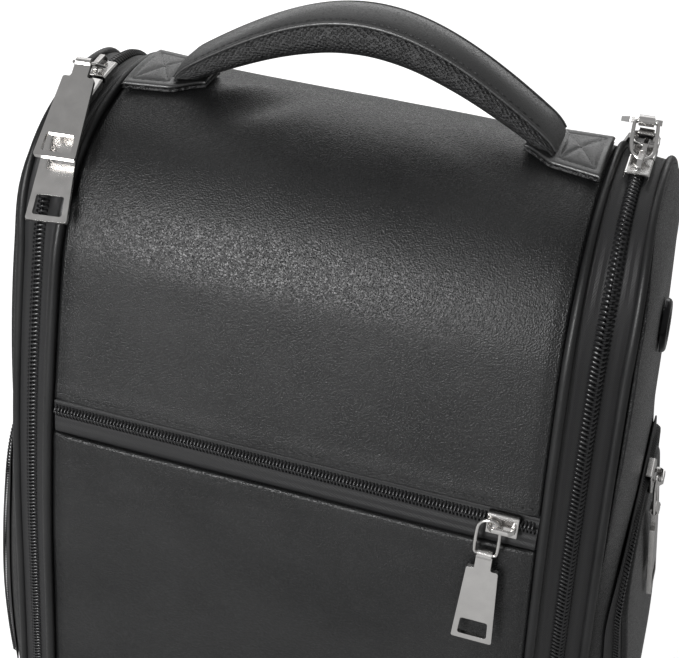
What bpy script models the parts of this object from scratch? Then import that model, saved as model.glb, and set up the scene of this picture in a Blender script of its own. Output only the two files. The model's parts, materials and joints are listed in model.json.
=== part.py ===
"""Golf shoe bag: an upright two-compartment bag with zipped side doors.

A wide leather band runs up the front, over the top and down the back. On each
side a sloping zip gusset joins it to a domed side door, which folds down on
its bottom edge. The front has a zipped flat pocket, each door has a zipped
pocket and a vent, and a padded handle is sewn across the top.

Units are metres, +Z is up, the front faces -Y, and the origin is the middle of
the base, on the floor.
"""
import math

import bmesh
import bpy
from mathutils import Matrix, Vector

# Body of the bag
BAG_HEIGHT = 0.351
BAG_DEPTH = 0.162
BASE_HALF_WIDTH = 0.1155
TOP_HALF_WIDTH = 0.0985
TAPER_POWER = 1.15
ARCH_START = 0.157
FRONT_TURN = math.radians(11)
CORNER_TURN = math.radians(63)
CORNER_RADIUS = 0.059
BASE_RADIUS = 0.025
FACET_TURN = math.radians(11.5)
FACET_LENGTH = 0.032

# Walls, counted inwards from the outer skin
CLEARANCE = 0.0003
PANEL_THICKNESS = 0.0020
LINING_THICKNESS = 0.0027
DIVIDER_THICKNESS = 0.0020
BOARD_THICKNESS = 0.0020

# Piping cords along the panel edges
INNER_PIPING_RADIUS = 0.0020
INNER_PIPING_RISE = 0.0002
OUTER_PIPING_RADIUS = 0.0018
PIPING_SIDES = 6

# Sloping zip gusset between the band and each door
GUSSET_WIDTH = 0.0245
GUSSET_LEAN = math.radians(33)
GUSSET_TOP_SHARE = 0.78
TAPE_THICKNESS = 0.0009
ZIP_GAP = 0.0003
DOOR_COIL_HALF_WIDTH = 0.0036
DOOR_COIL_HEIGHT = 0.0024
GUSSET_THICKNESS = 0.0012

# Flat front pocket and its zip, measured up the front
POCKET_ZIP_HEIGHT = 0.2365
POCKET_TAPE_ABOVE = 0.0050
POCKET_TAPE_BELOW = 0.0112
POCKET_TAPE_SINK = 0.0006
POCKET_COIL_HALF_WIDTH = 0.0030
POCKET_COIL_HEIGHT = 0.0022
BACK_SEAM_HEIGHT = 0.242

# Domed side doors
DOOR_THICKNESS = 0.0030
DOOR_DOME = 0.0083
DOOR_CENTRE_HEIGHT = 0.150
DOOR_ARCH_SQUARENESS = 4
DOOR_BASE_SQUARENESS = 10
DOOR_EDGE_ROUNDNESS = 0.42
DOOR_FACET = 0.0225
DOOR_OUTER_RINGS = (1.0, 0.985, 0.955, 0.91, 0.84, 0.72, 0.56, 0.35)
DOOR_INNER_RINGS = (1.0, 0.91, 0.56)

# Side pockets on the doors
SIDE_POCKET_DOME = 0.0104
SIDE_POCKET_FULLEST = 0.105
SIDE_POCKET_REACH_UP = 0.122
SIDE_POCKET_REACH_DOWN = 0.105
SIDE_ZIP_HEIGHT = 0.210
SIDE_ZIP_FOOT = 0.052
SIDE_ZIP_MARGIN = 0.0096
SIDE_ZIP_CORNER = 0.038
SIDE_TAPE_WIDTH = 0.0062
SIDE_COIL_HALF_WIDTH = 0.0028
SIDE_COIL_HEIGHT = 0.0020
SIDE_TAPE_THICKNESS = 0.0008
SIDE_SKIN_THICKNESS = 0.0016
SIDE_SKIN_GAP = 0.0009
SIDE_SKIN_RINGS = (1.0, 0.9, 0.75, 0.5)
SKIN_GAP = 0.0007

# Vent in each door
VENT_DROP = 0.063
VENT_RADIUS = 0.0110
VENT_BORE = 0.0058
VENT_WALL = 0.0009
VENT_RIM = 0.0024

# Handle across the top
HANDLE_CENTRE_DEPTH = 0.0092
HANDLE_WIDTH = 0.026
HANDLE_THICKNESS = 0.0178
HANDLE_SEAM_TURN = math.radians(42)
HANDLE_RISE = 0.0445
HANDLE_REACH = 0.0710
HANDLE_BELL_SHARE = 0.17
HANDLE_END_SHARE = 0.54
PATCH_WIDTH = 0.038
PATCH_INNER_WIDTH = 0.028
PATCH_THICKNESS = 0.0040
PATCH_LAP = 0.0065
PATCH_MARGIN = 0.0027

# Zip sliders
SLIDER_LENGTH = 0.0124
SLIDER_HALF_WIDTH = 0.0049
SLIDER_WALL = 0.0008
SLIDER_LIFT = 0.00040
SLIDER_PLATE = 0.0014
SLIDER_SKIRT = 0.0016
CROWN_HALF_WIDTH = 0.0011
CROWN_POST = 0.0016
CROWN_TUNNEL = 0.0026
CROWN_ROOF = 0.0015

# Wire link and pull plate
LINK_WIRE_RADIUS = 0.0009
LINK_HALF_WIDTH = 0.0046
LINK_TOP_PLAY = 0.0007
LINK_LENGTH = 0.0165
PULL_LENGTH = 0.0435
PULL_NECK_LENGTH = 0.0072
PULL_NECK_HALF_WIDTH = 0.0032
PULL_SHOULDER_HALF_WIDTH = 0.0063
PULL_FOOT_HALF_WIDTH = 0.0083
PULL_THICKNESS = 0.0020
PULL_KNUCKLE_WALL = 0.0009
PULL_WINDOW_SHARE = 0.73
PULL_WINDOW_HEIGHT = 0.0080
PULL_WINDOW_RISE = 0.0023

# Where the sliders are parked
POCKET_SLIDER_X = 0.0875
UPPER_SLIDER_SHIFT = -0.0028
LOWER_SLIDER_SHIFT = -0.0164
UPPER_LINK_LIFT = math.radians(33.5)
UPPER_PULL_DROP = math.radians(27)
LOWER_LINK_LIFT = math.radians(-2.5)
LOWER_PULL_DROP = math.radians(31)
DOOR_PULL_SWING = math.radians(6)

# Finish of each kind of piece: colour, roughness, metallic
FINISHES = {
    "leather": ((0.020, 0.020, 0.022), 0.48, 0.0),
    "piping_leather": ((0.018, 0.018, 0.020), 0.38, 0.0),
    "lining_cloth": ((0.045, 0.045, 0.048), 0.90, 0.0),
    "board": ((0.060, 0.060, 0.062), 0.85, 0.0),
    "zip_tape": ((0.014, 0.014, 0.015), 0.62, 0.0),
    "air_mesh": ((0.016, 0.016, 0.017), 0.85, 0.0),
    "nickel": ((0.78, 0.77, 0.76), 0.12, 1.0),
    "black_metal": ((0.030, 0.030, 0.032), 0.28, 0.8),
}


class Outline:
    """Side outline of the bag, walked from the middle of the base up the front.

    The walk starts along the base towards the front and always turns the same
    way, so each stretch is a length, and a radius where it bends.
    """

    def __init__(self):
        arch_height = BAG_HEIGHT - ARCH_START
        half_depth = BAG_DEPTH / 2
        top_end = FRONT_TURN + CORNER_TURN
        corner_up = CORNER_RADIUS * (math.sin(top_end) - math.sin(FRONT_TURN))
        corner_in = CORNER_RADIUS * (math.cos(FRONT_TURN) - math.cos(top_end))
        # The front and top radii close the arch between the wall and the top
        front_up, front_in = math.sin(FRONT_TURN), 1 - math.cos(FRONT_TURN)
        top_up, top_in = 1 - math.sin(top_end), math.cos(top_end)
        spare_up, spare_in = arch_height - corner_up, half_depth - corner_in
        fit = front_up * top_in - front_in * top_up
        self.front_radius = (spare_up * top_in - spare_in * top_up) / fit
        self.top_radius = (front_up * spare_in - front_in * spare_up) / fit
        half = [
            (half_depth - BASE_RADIUS, 0.0),
            (BASE_RADIUS * math.pi / 2, BASE_RADIUS),
            (ARCH_START - BASE_RADIUS, 0.0),
            (self.front_radius * FRONT_TURN, self.front_radius),
            (CORNER_RADIUS * CORNER_TURN, CORNER_RADIUS),
            (self.top_radius * (math.pi / 2 - top_end), self.top_radius),
        ]
        self.stretches = half + half[::-1]
        self.length = sum(length for length, radius in self.stretches)
        self.base_end = half[0][0] + half[1][0]
        self.corner_start = self.base_end + half[2][0] + half[3][0]

    def at(self, distance):
        """Return the depth, height and heading reached after a distance."""
        left = distance % self.length
        depth, height, heading = 0.0, 0.0, math.pi
        for length, radius in self.stretches:
            step = min(left, length)
            if radius:
                turned = heading - step / radius
                depth += radius * (math.sin(heading) - math.sin(turned))
                height += radius * (math.cos(turned) - math.cos(heading))
                heading = turned
            else:
                depth += step * math.cos(heading)
                height += step * math.sin(heading)
            left -= step
            if left <= 0:
                break
        return depth, height, heading

    def inside(self, distance, inset):
        """Return the depth and height of a point moved in from the skin."""
        depth, height, heading = self.at(distance)
        return depth + inset * math.sin(heading), height - inset * math.cos(heading)

    def up_front(self, wanted):
        """Return the distance at which the front reaches a height."""
        low, high = 0.0, self.length / 2
        for _ in range(60):
            middle = (low + high) / 2
            if self.at(middle)[1] < wanted:
                low = middle
            else:
                high = middle
        return low

    def stations(self, start, end, longest=math.inf):
        """Return the distances from start to end at which a sweep has a ring."""
        marks = []
        for lap in (-1, 0):
            along = lap * self.length
            for length, radius in self.stretches:
                turn = length / radius if radius else 0.0
                steps = max(1, math.ceil(turn / FACET_TURN), math.ceil(length / longest))
                if radius:
                    steps = max(steps, math.ceil(length / FACET_LENGTH))
                marks += [along + length * step / steps for step in range(steps)]
                along += length
        near = FACET_LENGTH / 20
        inner = [mark for mark in marks if start + near < mark < end - near]
        return [start] + sorted(inner) + [end]


OUTLINE = Outline()
POCKET_ZIP = OUTLINE.up_front(POCKET_ZIP_HEIGHT)
BACK_SEAM = OUTLINE.length - OUTLINE.up_front(BACK_SEAM_HEIGHT)
LINING_INSET = PANEL_THICKNESS + CLEARANCE
INSIDE_INSET = LINING_INSET + LINING_THICKNESS + CLEARANCE
PANEL_EDGE = INNER_PIPING_RADIUS + 1.3 * CLEARANCE
GUSSET_START = 1.25 * INNER_PIPING_RADIUS
GUSSET_END = GUSSET_WIDTH - OUTER_PIPING_RADIUS - CLEARANCE
DOOR_MARGIN = OUTER_PIPING_RADIUS + CLEARANCE
DOOR_INSET = GUSSET_WIDTH * math.sin(GUSSET_LEAN) + DOOR_MARGIN
DOOR_HALF_DEPTH = BAG_DEPTH / 2 - DOOR_INSET
DOOR_TOP = BAG_HEIGHT - DOOR_MARGIN
SIDE_ZIP_DEPTH = DOOR_HALF_DEPTH - SIDE_ZIP_MARGIN
CHAIN_MIDDLE = GUSSET_WIDTH / 2
VENT_HEIGHT = BAG_HEIGHT - VENT_DROP


def half_width(height):
    """Return half the width between the inner pipings at a height."""
    share = max(0.0, 1 - height / BAG_HEIGHT) ** TAPER_POWER
    return TOP_HALF_WIDTH + (BASE_HALF_WIDTH - TOP_HALF_WIDTH) * share


def gusset_shape(steepness):
    """Return the gusset's lean and share of its full width, from 0 flat to 1 steep."""
    return GUSSET_LEAN * steepness, GUSSET_TOP_SHARE + (1 - GUSSET_TOP_SHARE) * steepness


def steepness_at(distance):
    """Return how steep the outline is, counting everything below the front as steep."""
    heading = OUTLINE.at(distance)[2]
    return math.sin(heading) ** 2 if math.cos(heading) > 0 else 1.0


def gusset_point(distance, along, rise):
    """Return the lateral and inset place of a point on the sloping gusset."""
    lean, share = gusset_shape(steepness_at(distance))
    lateral = share * along * math.cos(lean) + rise * math.sin(lean)
    inset = share * along * math.sin(lean) - rise * math.cos(lean)
    return lateral, inset


def edge_point(side, distance, lateral, inset):
    """Return the point beside the band's edge, on side -1 or 1."""
    depth, height = OUTLINE.inside(distance, inset)
    return Vector((side * (half_width(height) + lateral), depth, height))


def finish_material(name):
    """Return the material of a finish, making it on first use."""
    material = bpy.data.materials.get(name)
    if material is None:
        colour, roughness, metallic = FINISHES[name]
        material = bpy.data.materials.new(name)
        material.use_nodes = True
        shader = material.node_tree.nodes["Principled BSDF"]
        shader.inputs["Base Color"].default_value = (*colour, 1.0)
        shader.inputs["Roughness"].default_value = roughness
        shader.inputs["Metallic"].default_value = metallic
    return material


def make_object(name, mesh, finish, pivot=None, place=None):
    """Add an object at a place, carried by the empty on its joint's axis."""
    piece = bpy.data.objects.new(name, mesh)
    bpy.context.scene.collection.objects.link(piece)
    if not mesh.materials:
        mesh.materials.append(finish_material(finish))
    if pivot is not None:
        piece.parent = pivot
        piece.matrix_parent_inverse = Matrix.Translation(-pivot.location)
    piece.matrix_basis = place or Matrix.Identity(4)
    return piece


def make_pivot(name, location):
    """Add an empty on a joint's axis."""
    pivot = bpy.data.objects.new(name, None)
    pivot.location = location
    pivot.empty_display_size = 0.02
    bpy.context.scene.collection.objects.link(pivot)
    return pivot


def mesh_from(bm, name):
    """Turn a bmesh into a mesh with its faces pointing out."""
    bmesh.ops.recalc_face_normals(bm, faces=bm.faces)
    mesh = bpy.data.meshes.new(name)
    bm.to_mesh(mesh)
    bm.free()
    mesh.shade_smooth()
    mesh.set_sharp_from_angle(angle=math.radians(35))
    return mesh


def loft(rings, closed=False):
    """Return a bmesh through rings of points, with end caps unless it closes."""
    bm = bmesh.new()
    loops = [[bm.verts.new(point) for point in ring] for ring in rings]
    count = len(loops[0])
    pairs = list(zip(loops, loops[1:]))
    if closed:
        pairs.append((loops[-1], loops[0]))
    else:
        bm.faces.new(loops[0][::-1])
        bm.faces.new(loops[-1])
    for ring, following in pairs:
        for i in range(count):
            j = (i + 1) % count
            bm.faces.new((ring[i], ring[j], following[j], following[i]))
    return bm


def prism(outline, low, high, axis):
    """Return a bmesh of a flat outline, extruded along one axis."""
    bm = bmesh.new()
    verts = []
    for first, second in outline:
        point = [first, second]
        point.insert(axis, low)
        verts.append(bm.verts.new(point))
    face = bm.faces.new(verts)
    grown = bmesh.ops.extrude_face_region(bm, geom=[face])
    move = [0.0, 0.0, 0.0]
    move[axis] = high - low
    top = [item for item in grown["geom"] if isinstance(item, bmesh.types.BMVert)]
    bmesh.ops.translate(bm, vec=move, verts=top)
    bmesh.ops.recalc_face_normals(bm, faces=bm.faces)
    return bm


def cylinder(radius, low, high, axis, sides=12):
    """Return a bmesh of a cylinder along one axis."""
    turn = [2 * math.pi * (i + 0.5) / sides for i in range(sides)]
    ring = [(radius * math.cos(angle), radius * math.sin(angle)) for angle in turn]
    return prism(ring, low, high, axis)


def combine(base, steps, name):
    """Return a mesh of a base shape after Boolean unions and differences."""
    start = bpy.data.objects.new(name, mesh_from(base, name))
    bpy.context.scene.collection.objects.link(start)
    helpers = []
    for operation, shape in steps:
        helper = bpy.data.objects.new(name + "_cutter", mesh_from(shape, name + "_cutter"))
        bpy.context.scene.collection.objects.link(helper)
        helpers.append(helper)
        modifier = start.modifiers.new(operation, "BOOLEAN")
        modifier.operation = operation
        modifier.object = helper
        modifier.solver = "EXACT"
    graph = bpy.context.evaluated_depsgraph_get()
    mesh = bpy.data.meshes.new_from_object(start.evaluated_get(graph))
    for item in helpers + [start]:
        bpy.data.objects.remove(item, do_unlink=True)
    mesh.shade_smooth()
    mesh.set_sharp_from_angle(angle=math.radians(35))
    return mesh


def rounded(corners, radius, steps=3):
    """Return a closed outline with its corners rounded."""
    points = []
    count = len(corners)
    for i in range(count):
        corner = Vector(corners[i])
        before = (Vector(corners[i - 1]) - corner).normalized()
        after = (Vector(corners[(i + 1) % count]) - corner).normalized()
        half_angle = before.angle(after) / 2
        reach = radius / math.tan(half_angle)
        centre = corner + (before + after).normalized() * radius / math.sin(half_angle)
        start = corner + before * reach - centre
        end = corner + after * reach - centre
        for step in range(steps + 1):
            spoke = start.slerp(end, step / steps).normalized()
            points.append(tuple(centre + spoke * radius))
    return points


# Band, lining and what lies inside


def band_panel(name, start, end, edge, finish="leather"):
    """Make one panel of the band between two distances round the outline."""
    section = [
        (-1, edge, 0.0),
        (1, edge, 0.0),
        (1, edge, PANEL_THICKNESS),
        (-1, edge, PANEL_THICKNESS),
    ]
    rings = []
    for distance in OUTLINE.stations(start, end):
        rings.append([edge_point(side, distance, lateral, inset) for side, lateral, inset in section])
    make_object(name, mesh_from(loft(rings), name), finish)


def make_band():
    """Make the outer panels of the band."""
    base_end = OUTLINE.base_end
    seam = CLEARANCE / 2
    band_panel("base_panel", -base_end, base_end - seam, INNER_PIPING_RADIUS * 0.6)
    pocket_top = POCKET_ZIP - POCKET_TAPE_BELOW
    band_panel("front_pocket_panel", base_end + seam, pocket_top, -PANEL_EDGE)
    band_panel("front_panel", POCKET_ZIP + POCKET_TAPE_ABOVE, BACK_SEAM - seam, -PANEL_EDGE)
    back_end = OUTLINE.length - base_end - CLEARANCE
    band_panel("back_panel", BACK_SEAM + seam, back_end, -PANEL_EDGE)


def make_lining():
    """Make the padded lining sleeve, the base board and the divider."""
    edge = INNER_PIPING_RADIUS * 0.45
    section = [
        (-1, edge, LINING_INSET),
        (1, edge, LINING_INSET),
        (1, edge, LINING_INSET + LINING_THICKNESS),
        (-1, edge, LINING_INSET + LINING_THICKNESS),
    ]
    rings = []
    for distance in OUTLINE.stations(0.0, OUTLINE.length)[:-1]:
        rings.append([edge_point(side, distance, lateral, inset) for side, lateral, inset in section])
    make_object("lining_sleeve", mesh_from(loft(rings, closed=True), "lining_sleeve"), "lining_cloth")

    board_top = INSIDE_INSET + BOARD_THICKNESS
    board_half_depth = BAG_DEPTH / 2 - BASE_RADIUS
    board_half_width = half_width(board_top) - 2 * INNER_PIPING_RADIUS
    corners = [
        (-board_half_width, -board_half_depth),
        (board_half_width, -board_half_depth),
        (board_half_width, board_half_depth),
        (-board_half_width, board_half_depth),
    ]
    board = prism(rounded(corners, BASE_RADIUS / 2), INSIDE_INSET, board_top, 2)
    make_object("base_board", mesh_from(board, "base_board"), "board")

    floor = board_top + CLEARANCE
    outline = []
    first = OUTLINE.up_front(floor + CLEARANCE)
    for distance in OUTLINE.stations(first, OUTLINE.length - first):
        depth, height = OUTLINE.inside(distance, INSIDE_INSET)
        outline.append((depth, max(height, floor)))
    half = DIVIDER_THICKNESS / 2
    make_object("centre_divider", mesh_from(prism(outline, -half, half, 0), "centre_divider"), "lining_cloth")


# Pipings and zips of the doors


def swept_edge(name, side, start, end, section, finish, pivot=None, closed=False):
    """Make a piece of constant section that follows one gusset of the bag."""
    marks = OUTLINE.stations(start, end)
    if closed:
        marks = marks[:-1]
    rings = []
    for distance in marks:
        places = [gusset_point(distance, along, rise) for along, rise in section]
        rings.append([edge_point(side, distance, lateral, inset) for lateral, inset in places])
    make_object(name, mesh_from(loft(rings, closed), name), finish, pivot)


def cord_section(along, rise, radius):
    """Return the round section of a piping cord."""
    turns = [2 * math.pi * (i + 0.5) / PIPING_SIDES for i in range(PIPING_SIDES)]
    return [(along + radius * math.cos(turn), rise + radius * math.sin(turn)) for turn in turns]


def stringer_section(outer):
    """Return the section of one zip half: a tape and its half of the coil."""
    inner_edge = CHAIN_MIDDLE - ZIP_GAP / 2
    coil_edge = CHAIN_MIDDLE - DOOR_COIL_HALF_WIDTH
    half = [
        (GUSSET_START, -TAPE_THICKNESS),
        (inner_edge, -TAPE_THICKNESS),
        (inner_edge, DOOR_COIL_HEIGHT * 0.85),
        ((inner_edge + coil_edge) / 2, DOOR_COIL_HEIGHT),
        (coil_edge, DOOR_COIL_HEIGHT * 0.6),
        (coil_edge, 0.0),
        (GUSSET_START, 0.0),
    ]
    if outer:
        stretch = (GUSSET_END - CHAIN_MIDDLE) / (CHAIN_MIDDLE - GUSSET_START)
        half[0] = (CHAIN_MIDDLE - (CHAIN_MIDDLE - GUSSET_START) * stretch, -TAPE_THICKNESS)
        half[-1] = (half[0][0], 0.0)
        half = [(GUSSET_WIDTH - along, rise) for along, rise in half]
    return half


def make_gussets(side, word, hinge):
    """Make the pipings, zip halves and bottom hinge strip of one side."""
    start = OUTLINE.base_end + CLEARANCE
    end = OUTLINE.length - start
    inner_cord = cord_section(0.0, INNER_PIPING_RISE, INNER_PIPING_RADIUS)
    swept_edge(word + "_inner_piping", side, start, end, inner_cord, "piping_leather")
    swept_edge(word + "_inner_stringer", side, start, end, stringer_section(False), "zip_tape")
    swept_edge(word + "_outer_stringer", side, start, end, stringer_section(True), "zip_tape", hinge)
    outer_cord = cord_section(GUSSET_WIDTH, 0.0, OUTER_PIPING_RADIUS)
    swept_edge(word + "_outer_piping", side, 0.0, OUTLINE.length, outer_cord, "piping_leather", hinge, True)
    strip = [
        (GUSSET_START, -GUSSET_THICKNESS),
        (GUSSET_END, -GUSSET_THICKNESS),
        (GUSSET_END, 0.0),
        (GUSSET_START, 0.0),
    ]
    reach = OUTLINE.base_end
    swept_edge(word + "_hinge_gusset", side, -reach, reach, strip, "leather")


# Side doors, their pockets and vents


def door_share(depth, height):
    """Return how far a point is from the door's middle to its edge, 0 to 1."""
    across = abs(depth) / DOOR_HALF_DEPTH
    reach, square = DOOR_TOP - DOOR_CENTRE_HEIGHT, DOOR_ARCH_SQUARENESS
    if height < DOOR_CENTRE_HEIGHT:
        reach, square = DOOR_CENTRE_HEIGHT - DOOR_INSET, DOOR_BASE_SQUARENESS
    along = abs(height - DOOR_CENTRE_HEIGHT) / reach
    return min(1.0, (across ** square + along ** square) ** (1 / square))


def door_swell(depth, height):
    """Return how far the door's skin stands out from its edge plane."""
    dome = DOOR_DOME * (1 - door_share(depth, height) ** 3) ** DOOR_EDGE_ROUNDNESS
    reach = SIDE_POCKET_REACH_UP
    if height < SIDE_POCKET_FULLEST:
        reach = SIDE_POCKET_REACH_DOWN
    along = min(1.0, abs(height - SIDE_POCKET_FULLEST) / reach)
    across = min(1.0, abs(depth) / DOOR_HALF_DEPTH)
    pocket = SIDE_POCKET_DOME * (1 - along ** 2) ** 2 * math.sqrt(1 - across ** 4)
    return dome + pocket


def door_reach(height):
    """Return how far the door's edge lies from the band at a height."""
    corner_foot = OUTLINE.at(OUTLINE.corner_start)[1]
    share = min(1.0, max(0.0, (height - corner_foot) / (DOOR_TOP - corner_foot)))
    lean, width_share = gusset_shape(math.cos(share * math.pi / 2) ** 2)
    return width_share * GUSSET_WIDTH * math.cos(lean)


def door_point(side, depth, height, lift=0.0):
    """Return a point over the door's skin, lifted straight out from it."""
    reach = half_width(height) + door_reach(height) + door_swell(depth, height) + lift
    return Vector((side * reach, depth, height))


def domed_shell(side, rim, centre, outside, inside):
    """Return a bmesh of a closed shell that follows the door's skin.

    Outside and inside each give a lift over the skin and the shares of the
    way from the centre to the rim at which that face has a ring.
    """
    bm = bmesh.new()
    layers = []
    for lift, shares in (outside, inside):
        loops = []
        for share in shares:
            loop = []
            for depth, height in rim:
                y = centre[0] + (depth - centre[0]) * share
                z = centre[1] + (height - centre[1]) * share
                loop.append(bm.verts.new(door_point(side, y, z, lift)))
            loops.append(loop)
        middle = bm.verts.new(door_point(side, *centre, lift))
        count = len(rim)
        for ring, following in zip(loops, loops[1:]):
            for i in range(count):
                j = (i + 1) % count
                bm.faces.new((ring[i], ring[j], following[j], following[i]))
        for i in range(count):
            bm.faces.new((loops[-1][i], loops[-1][(i + 1) % count], middle))
        layers.append(loops[0])
    outer, inner = layers
    for i in range(len(rim)):
        j = (i + 1) % len(rim)
        bm.faces.new((outer[i], outer[j], inner[j], inner[i]))
    return bm


def side_zip_path(shift):
    """Return the arch of a side pocket's zip, shifted outwards or inwards."""
    reach = SIDE_ZIP_DEPTH + shift
    top = SIDE_ZIP_HEIGHT + shift
    radius = SIDE_ZIP_CORNER + shift
    rise = top - radius - SIDE_ZIP_FOOT
    leg = [SIDE_ZIP_FOOT + rise * i / 4 for i in range(4)]
    front = [(-reach, height) for height in leg]
    for step in range(7):
        turn = math.pi / 2 * step / 6
        front.append((radius - reach - radius * math.cos(turn), top - radius + radius * math.sin(turn)))
    back = [(-depth, height) for depth, height in front[::-1]]
    return front + [(0.0, top)] + back


def side_stringer(side, inner):
    """Return a bmesh of one half of a side pocket's zip, on the door's skin."""
    way = -1 if inner else 1
    start = way * ZIP_GAP / 2
    coil = way * SIDE_COIL_HALF_WIDTH
    edge = way * SIDE_TAPE_WIDTH
    between = (coil + edge) / 2
    low = SKIN_GAP
    high = low + SIDE_TAPE_THICKNESS
    section = [
        (start, low),
        (coil, low),
        (between, low),
        (edge, low),
        (edge, high),
        (between, high),
        (coil, high),
        (coil, high + SIDE_COIL_HEIGHT * 0.7),
        (start, high + SIDE_COIL_HEIGHT),
    ]
    paths = [side_zip_path(shift) for shift, lift in section]
    rings = []
    for places in zip(*paths):
        ring = []
        for (depth, height), (shift, lift) in zip(places, section):
            ring.append(door_point(side, depth, height, lift))
        rings.append(ring)
    return loft(rings)


def door_frame(side, depth, height, down):
    """Return axes on the door's skin: across, along a downward line, and out."""
    near = 0.004
    over = door_point(side, depth, height + near) - door_point(side, depth, height - near)
    along = door_point(side, depth + near, height) - door_point(side, depth - near, height)
    out = over.cross(along).normalized()
    out *= math.copysign(1.0, out.x * side)
    hang = (down - out * down.dot(out)).normalized()
    return hang.cross(out), hang, out


def make_vent(side, word, hinge):
    """Make the eyelet and the mesh of one door's vent."""
    across, hang, out = door_frame(side, 0.0, VENT_HEIGHT, Vector((0, 0, -1)))
    place = Matrix((across, hang, out)).transposed().to_4x4()
    place.translation = door_point(side, 0.0, VENT_HEIGHT)
    barrel = VENT_BORE + VENT_WALL
    seat = SKIN_GAP
    profile = [
        (VENT_BORE, -DOOR_THICKNESS),
        (barrel, -DOOR_THICKNESS),
        (barrel, seat),
        (VENT_RADIUS, seat),
        (VENT_RADIUS, seat + VENT_RIM * 0.4),
        (VENT_RADIUS - VENT_RIM * 0.6, seat + VENT_RIM),
        (VENT_BORE + VENT_RIM * 0.4, seat + VENT_RIM),
        (VENT_BORE, seat + VENT_RIM * 0.5),
    ]
    sides = 20
    rings = []
    for i in range(sides):
        turn = 2 * math.pi * (i + 0.5) / sides
        rings.append([(r * math.cos(turn), r * math.sin(turn), h) for r, h in profile])
    eyelet = mesh_from(loft(rings, closed=True), word + "_vent_eyelet")
    make_object(word + "_vent_eyelet", eyelet, "black_metal", hinge, place)
    disc = cylinder(VENT_BORE - CLEARANCE, -DOOR_THICKNESS * 0.7, -DOOR_THICKNESS * 0.4, 2, sides)
    make_object(word + "_vent_mesh", mesh_from(disc, word + "_vent_mesh"), "air_mesh", hinge, place)
    return place


def make_door(side, word, hinge):
    """Make one domed side door with its pocket skin and zip."""
    vent_place = make_vent(side, word, hinge)
    marks = OUTLINE.stations(0.0, OUTLINE.length, DOOR_FACET)[:-1]
    rim = []
    for mark in marks:
        inset = gusset_point(mark, GUSSET_WIDTH, 0.0)[1] + DOOR_MARGIN
        rim.append(OUTLINE.inside(mark, inset))
    middle = (0.0, DOOR_CENTRE_HEIGHT)
    outside, inside = (0.0, DOOR_OUTER_RINGS), (-DOOR_THICKNESS, DOOR_INNER_RINGS)
    shell = domed_shell(side, rim, middle, outside, inside)
    hole = cylinder(VENT_BORE + VENT_WALL + CLEARANCE, -3 * DOOR_THICKNESS, 2 * DOOR_THICKNESS, 2, 20)
    hole.transform(vent_place)
    name = word + "_door_panel"
    make_object(name, combine(shell, [("DIFFERENCE", hole)], name), "leather", hinge)

    outline = side_zip_path(-SIDE_TAPE_WIDTH - CLEARANCE)
    foot = outline[-1][0]
    outline += [(foot * (1 - step / 3), SIDE_ZIP_FOOT) for step in range(1, 6)]
    outside = (SIDE_SKIN_GAP + SIDE_SKIN_THICKNESS, SIDE_SKIN_RINGS)
    skin = domed_shell(side, outline, middle, outside, (SIDE_SKIN_GAP, SIDE_SKIN_RINGS))
    make_object(word + "_side_pocket_panel", mesh_from(skin, word + "_side_pocket_panel"), "leather", hinge)
    for inner, end in ((False, "outer"), (True, "inner")):
        name = word + "_side_pocket_" + end + "_stringer"
        make_object(name, mesh_from(side_stringer(side, inner), name), "zip_tape", hinge)


# Front pocket zip


def make_front_zip():
    """Make the two halves of the front pocket's zip."""
    low = POCKET_TAPE_SINK + TAPE_THICKNESS
    high = POCKET_TAPE_SINK
    ridge = POCKET_TAPE_SINK - POCKET_COIL_HEIGHT
    for name, way, width in (
        ("front_zip_upper_stringer", 1, POCKET_TAPE_ABOVE),
        ("front_zip_lower_stringer", -1, POCKET_TAPE_BELOW),
    ):
        start = way * ZIP_GAP / 2
        coil = way * POCKET_COIL_HALF_WIDTH
        edge = way * (width - CLEARANCE)
        section = [
            (start, low),
            (edge, low),
            (edge, high),
            (coil, high),
            (coil, high - POCKET_COIL_HEIGHT * 0.7),
            (start, ridge),
        ]
        rings = []
        for side in (-1, 1):
            rings.append(
                [edge_point(side, POCKET_ZIP + shift, -PANEL_EDGE, inset) for shift, inset in section]
            )
        make_object(name, mesh_from(loft(rings), name), "zip_tape")


# Handle


def make_patches():
    """Make the sewn patches at the handle's ends, narrower towards the handle."""
    middle = OUTLINE.length / 2 + HANDLE_CENTRE_DEPTH
    steps = 4
    for side, word in ((-1, "left"), (1, "right")):
        rings = []
        for step in range(steps + 1):
            share = step / steps - 0.5
            ring = []
            for inset in (-CLEARANCE, -CLEARANCE - PATCH_THICKNESS):
                outer = edge_point(side, middle + PATCH_WIDTH * share, -PATCH_MARGIN, inset)
                inner = edge_point(side, middle + PATCH_INNER_WIDTH * share, 0.0, inset)
                inner.x = side * (HANDLE_REACH - PATCH_LAP)
                ring += [outer, inner] if not ring else [inner, outer]
            rings.append(ring)
        name = "handle_patch_" + word
        make_object(name, mesh_from(loft(rings), name), "leather")


def handle_section(start, end, steps):
    """Return the handle's oval section from one turn to another, measured from the seam."""
    half_width, half_height = HANDLE_WIDTH / 2, HANDLE_THICKNESS / 2
    seam = half_height * math.sin(HANDLE_SEAM_TURN)
    points = []
    for step in range(steps + 1):
        turn = start + (end - start) * step / steps
        points.append((half_width * math.cos(turn), half_height * math.sin(turn) - seam))
    return points


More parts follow.
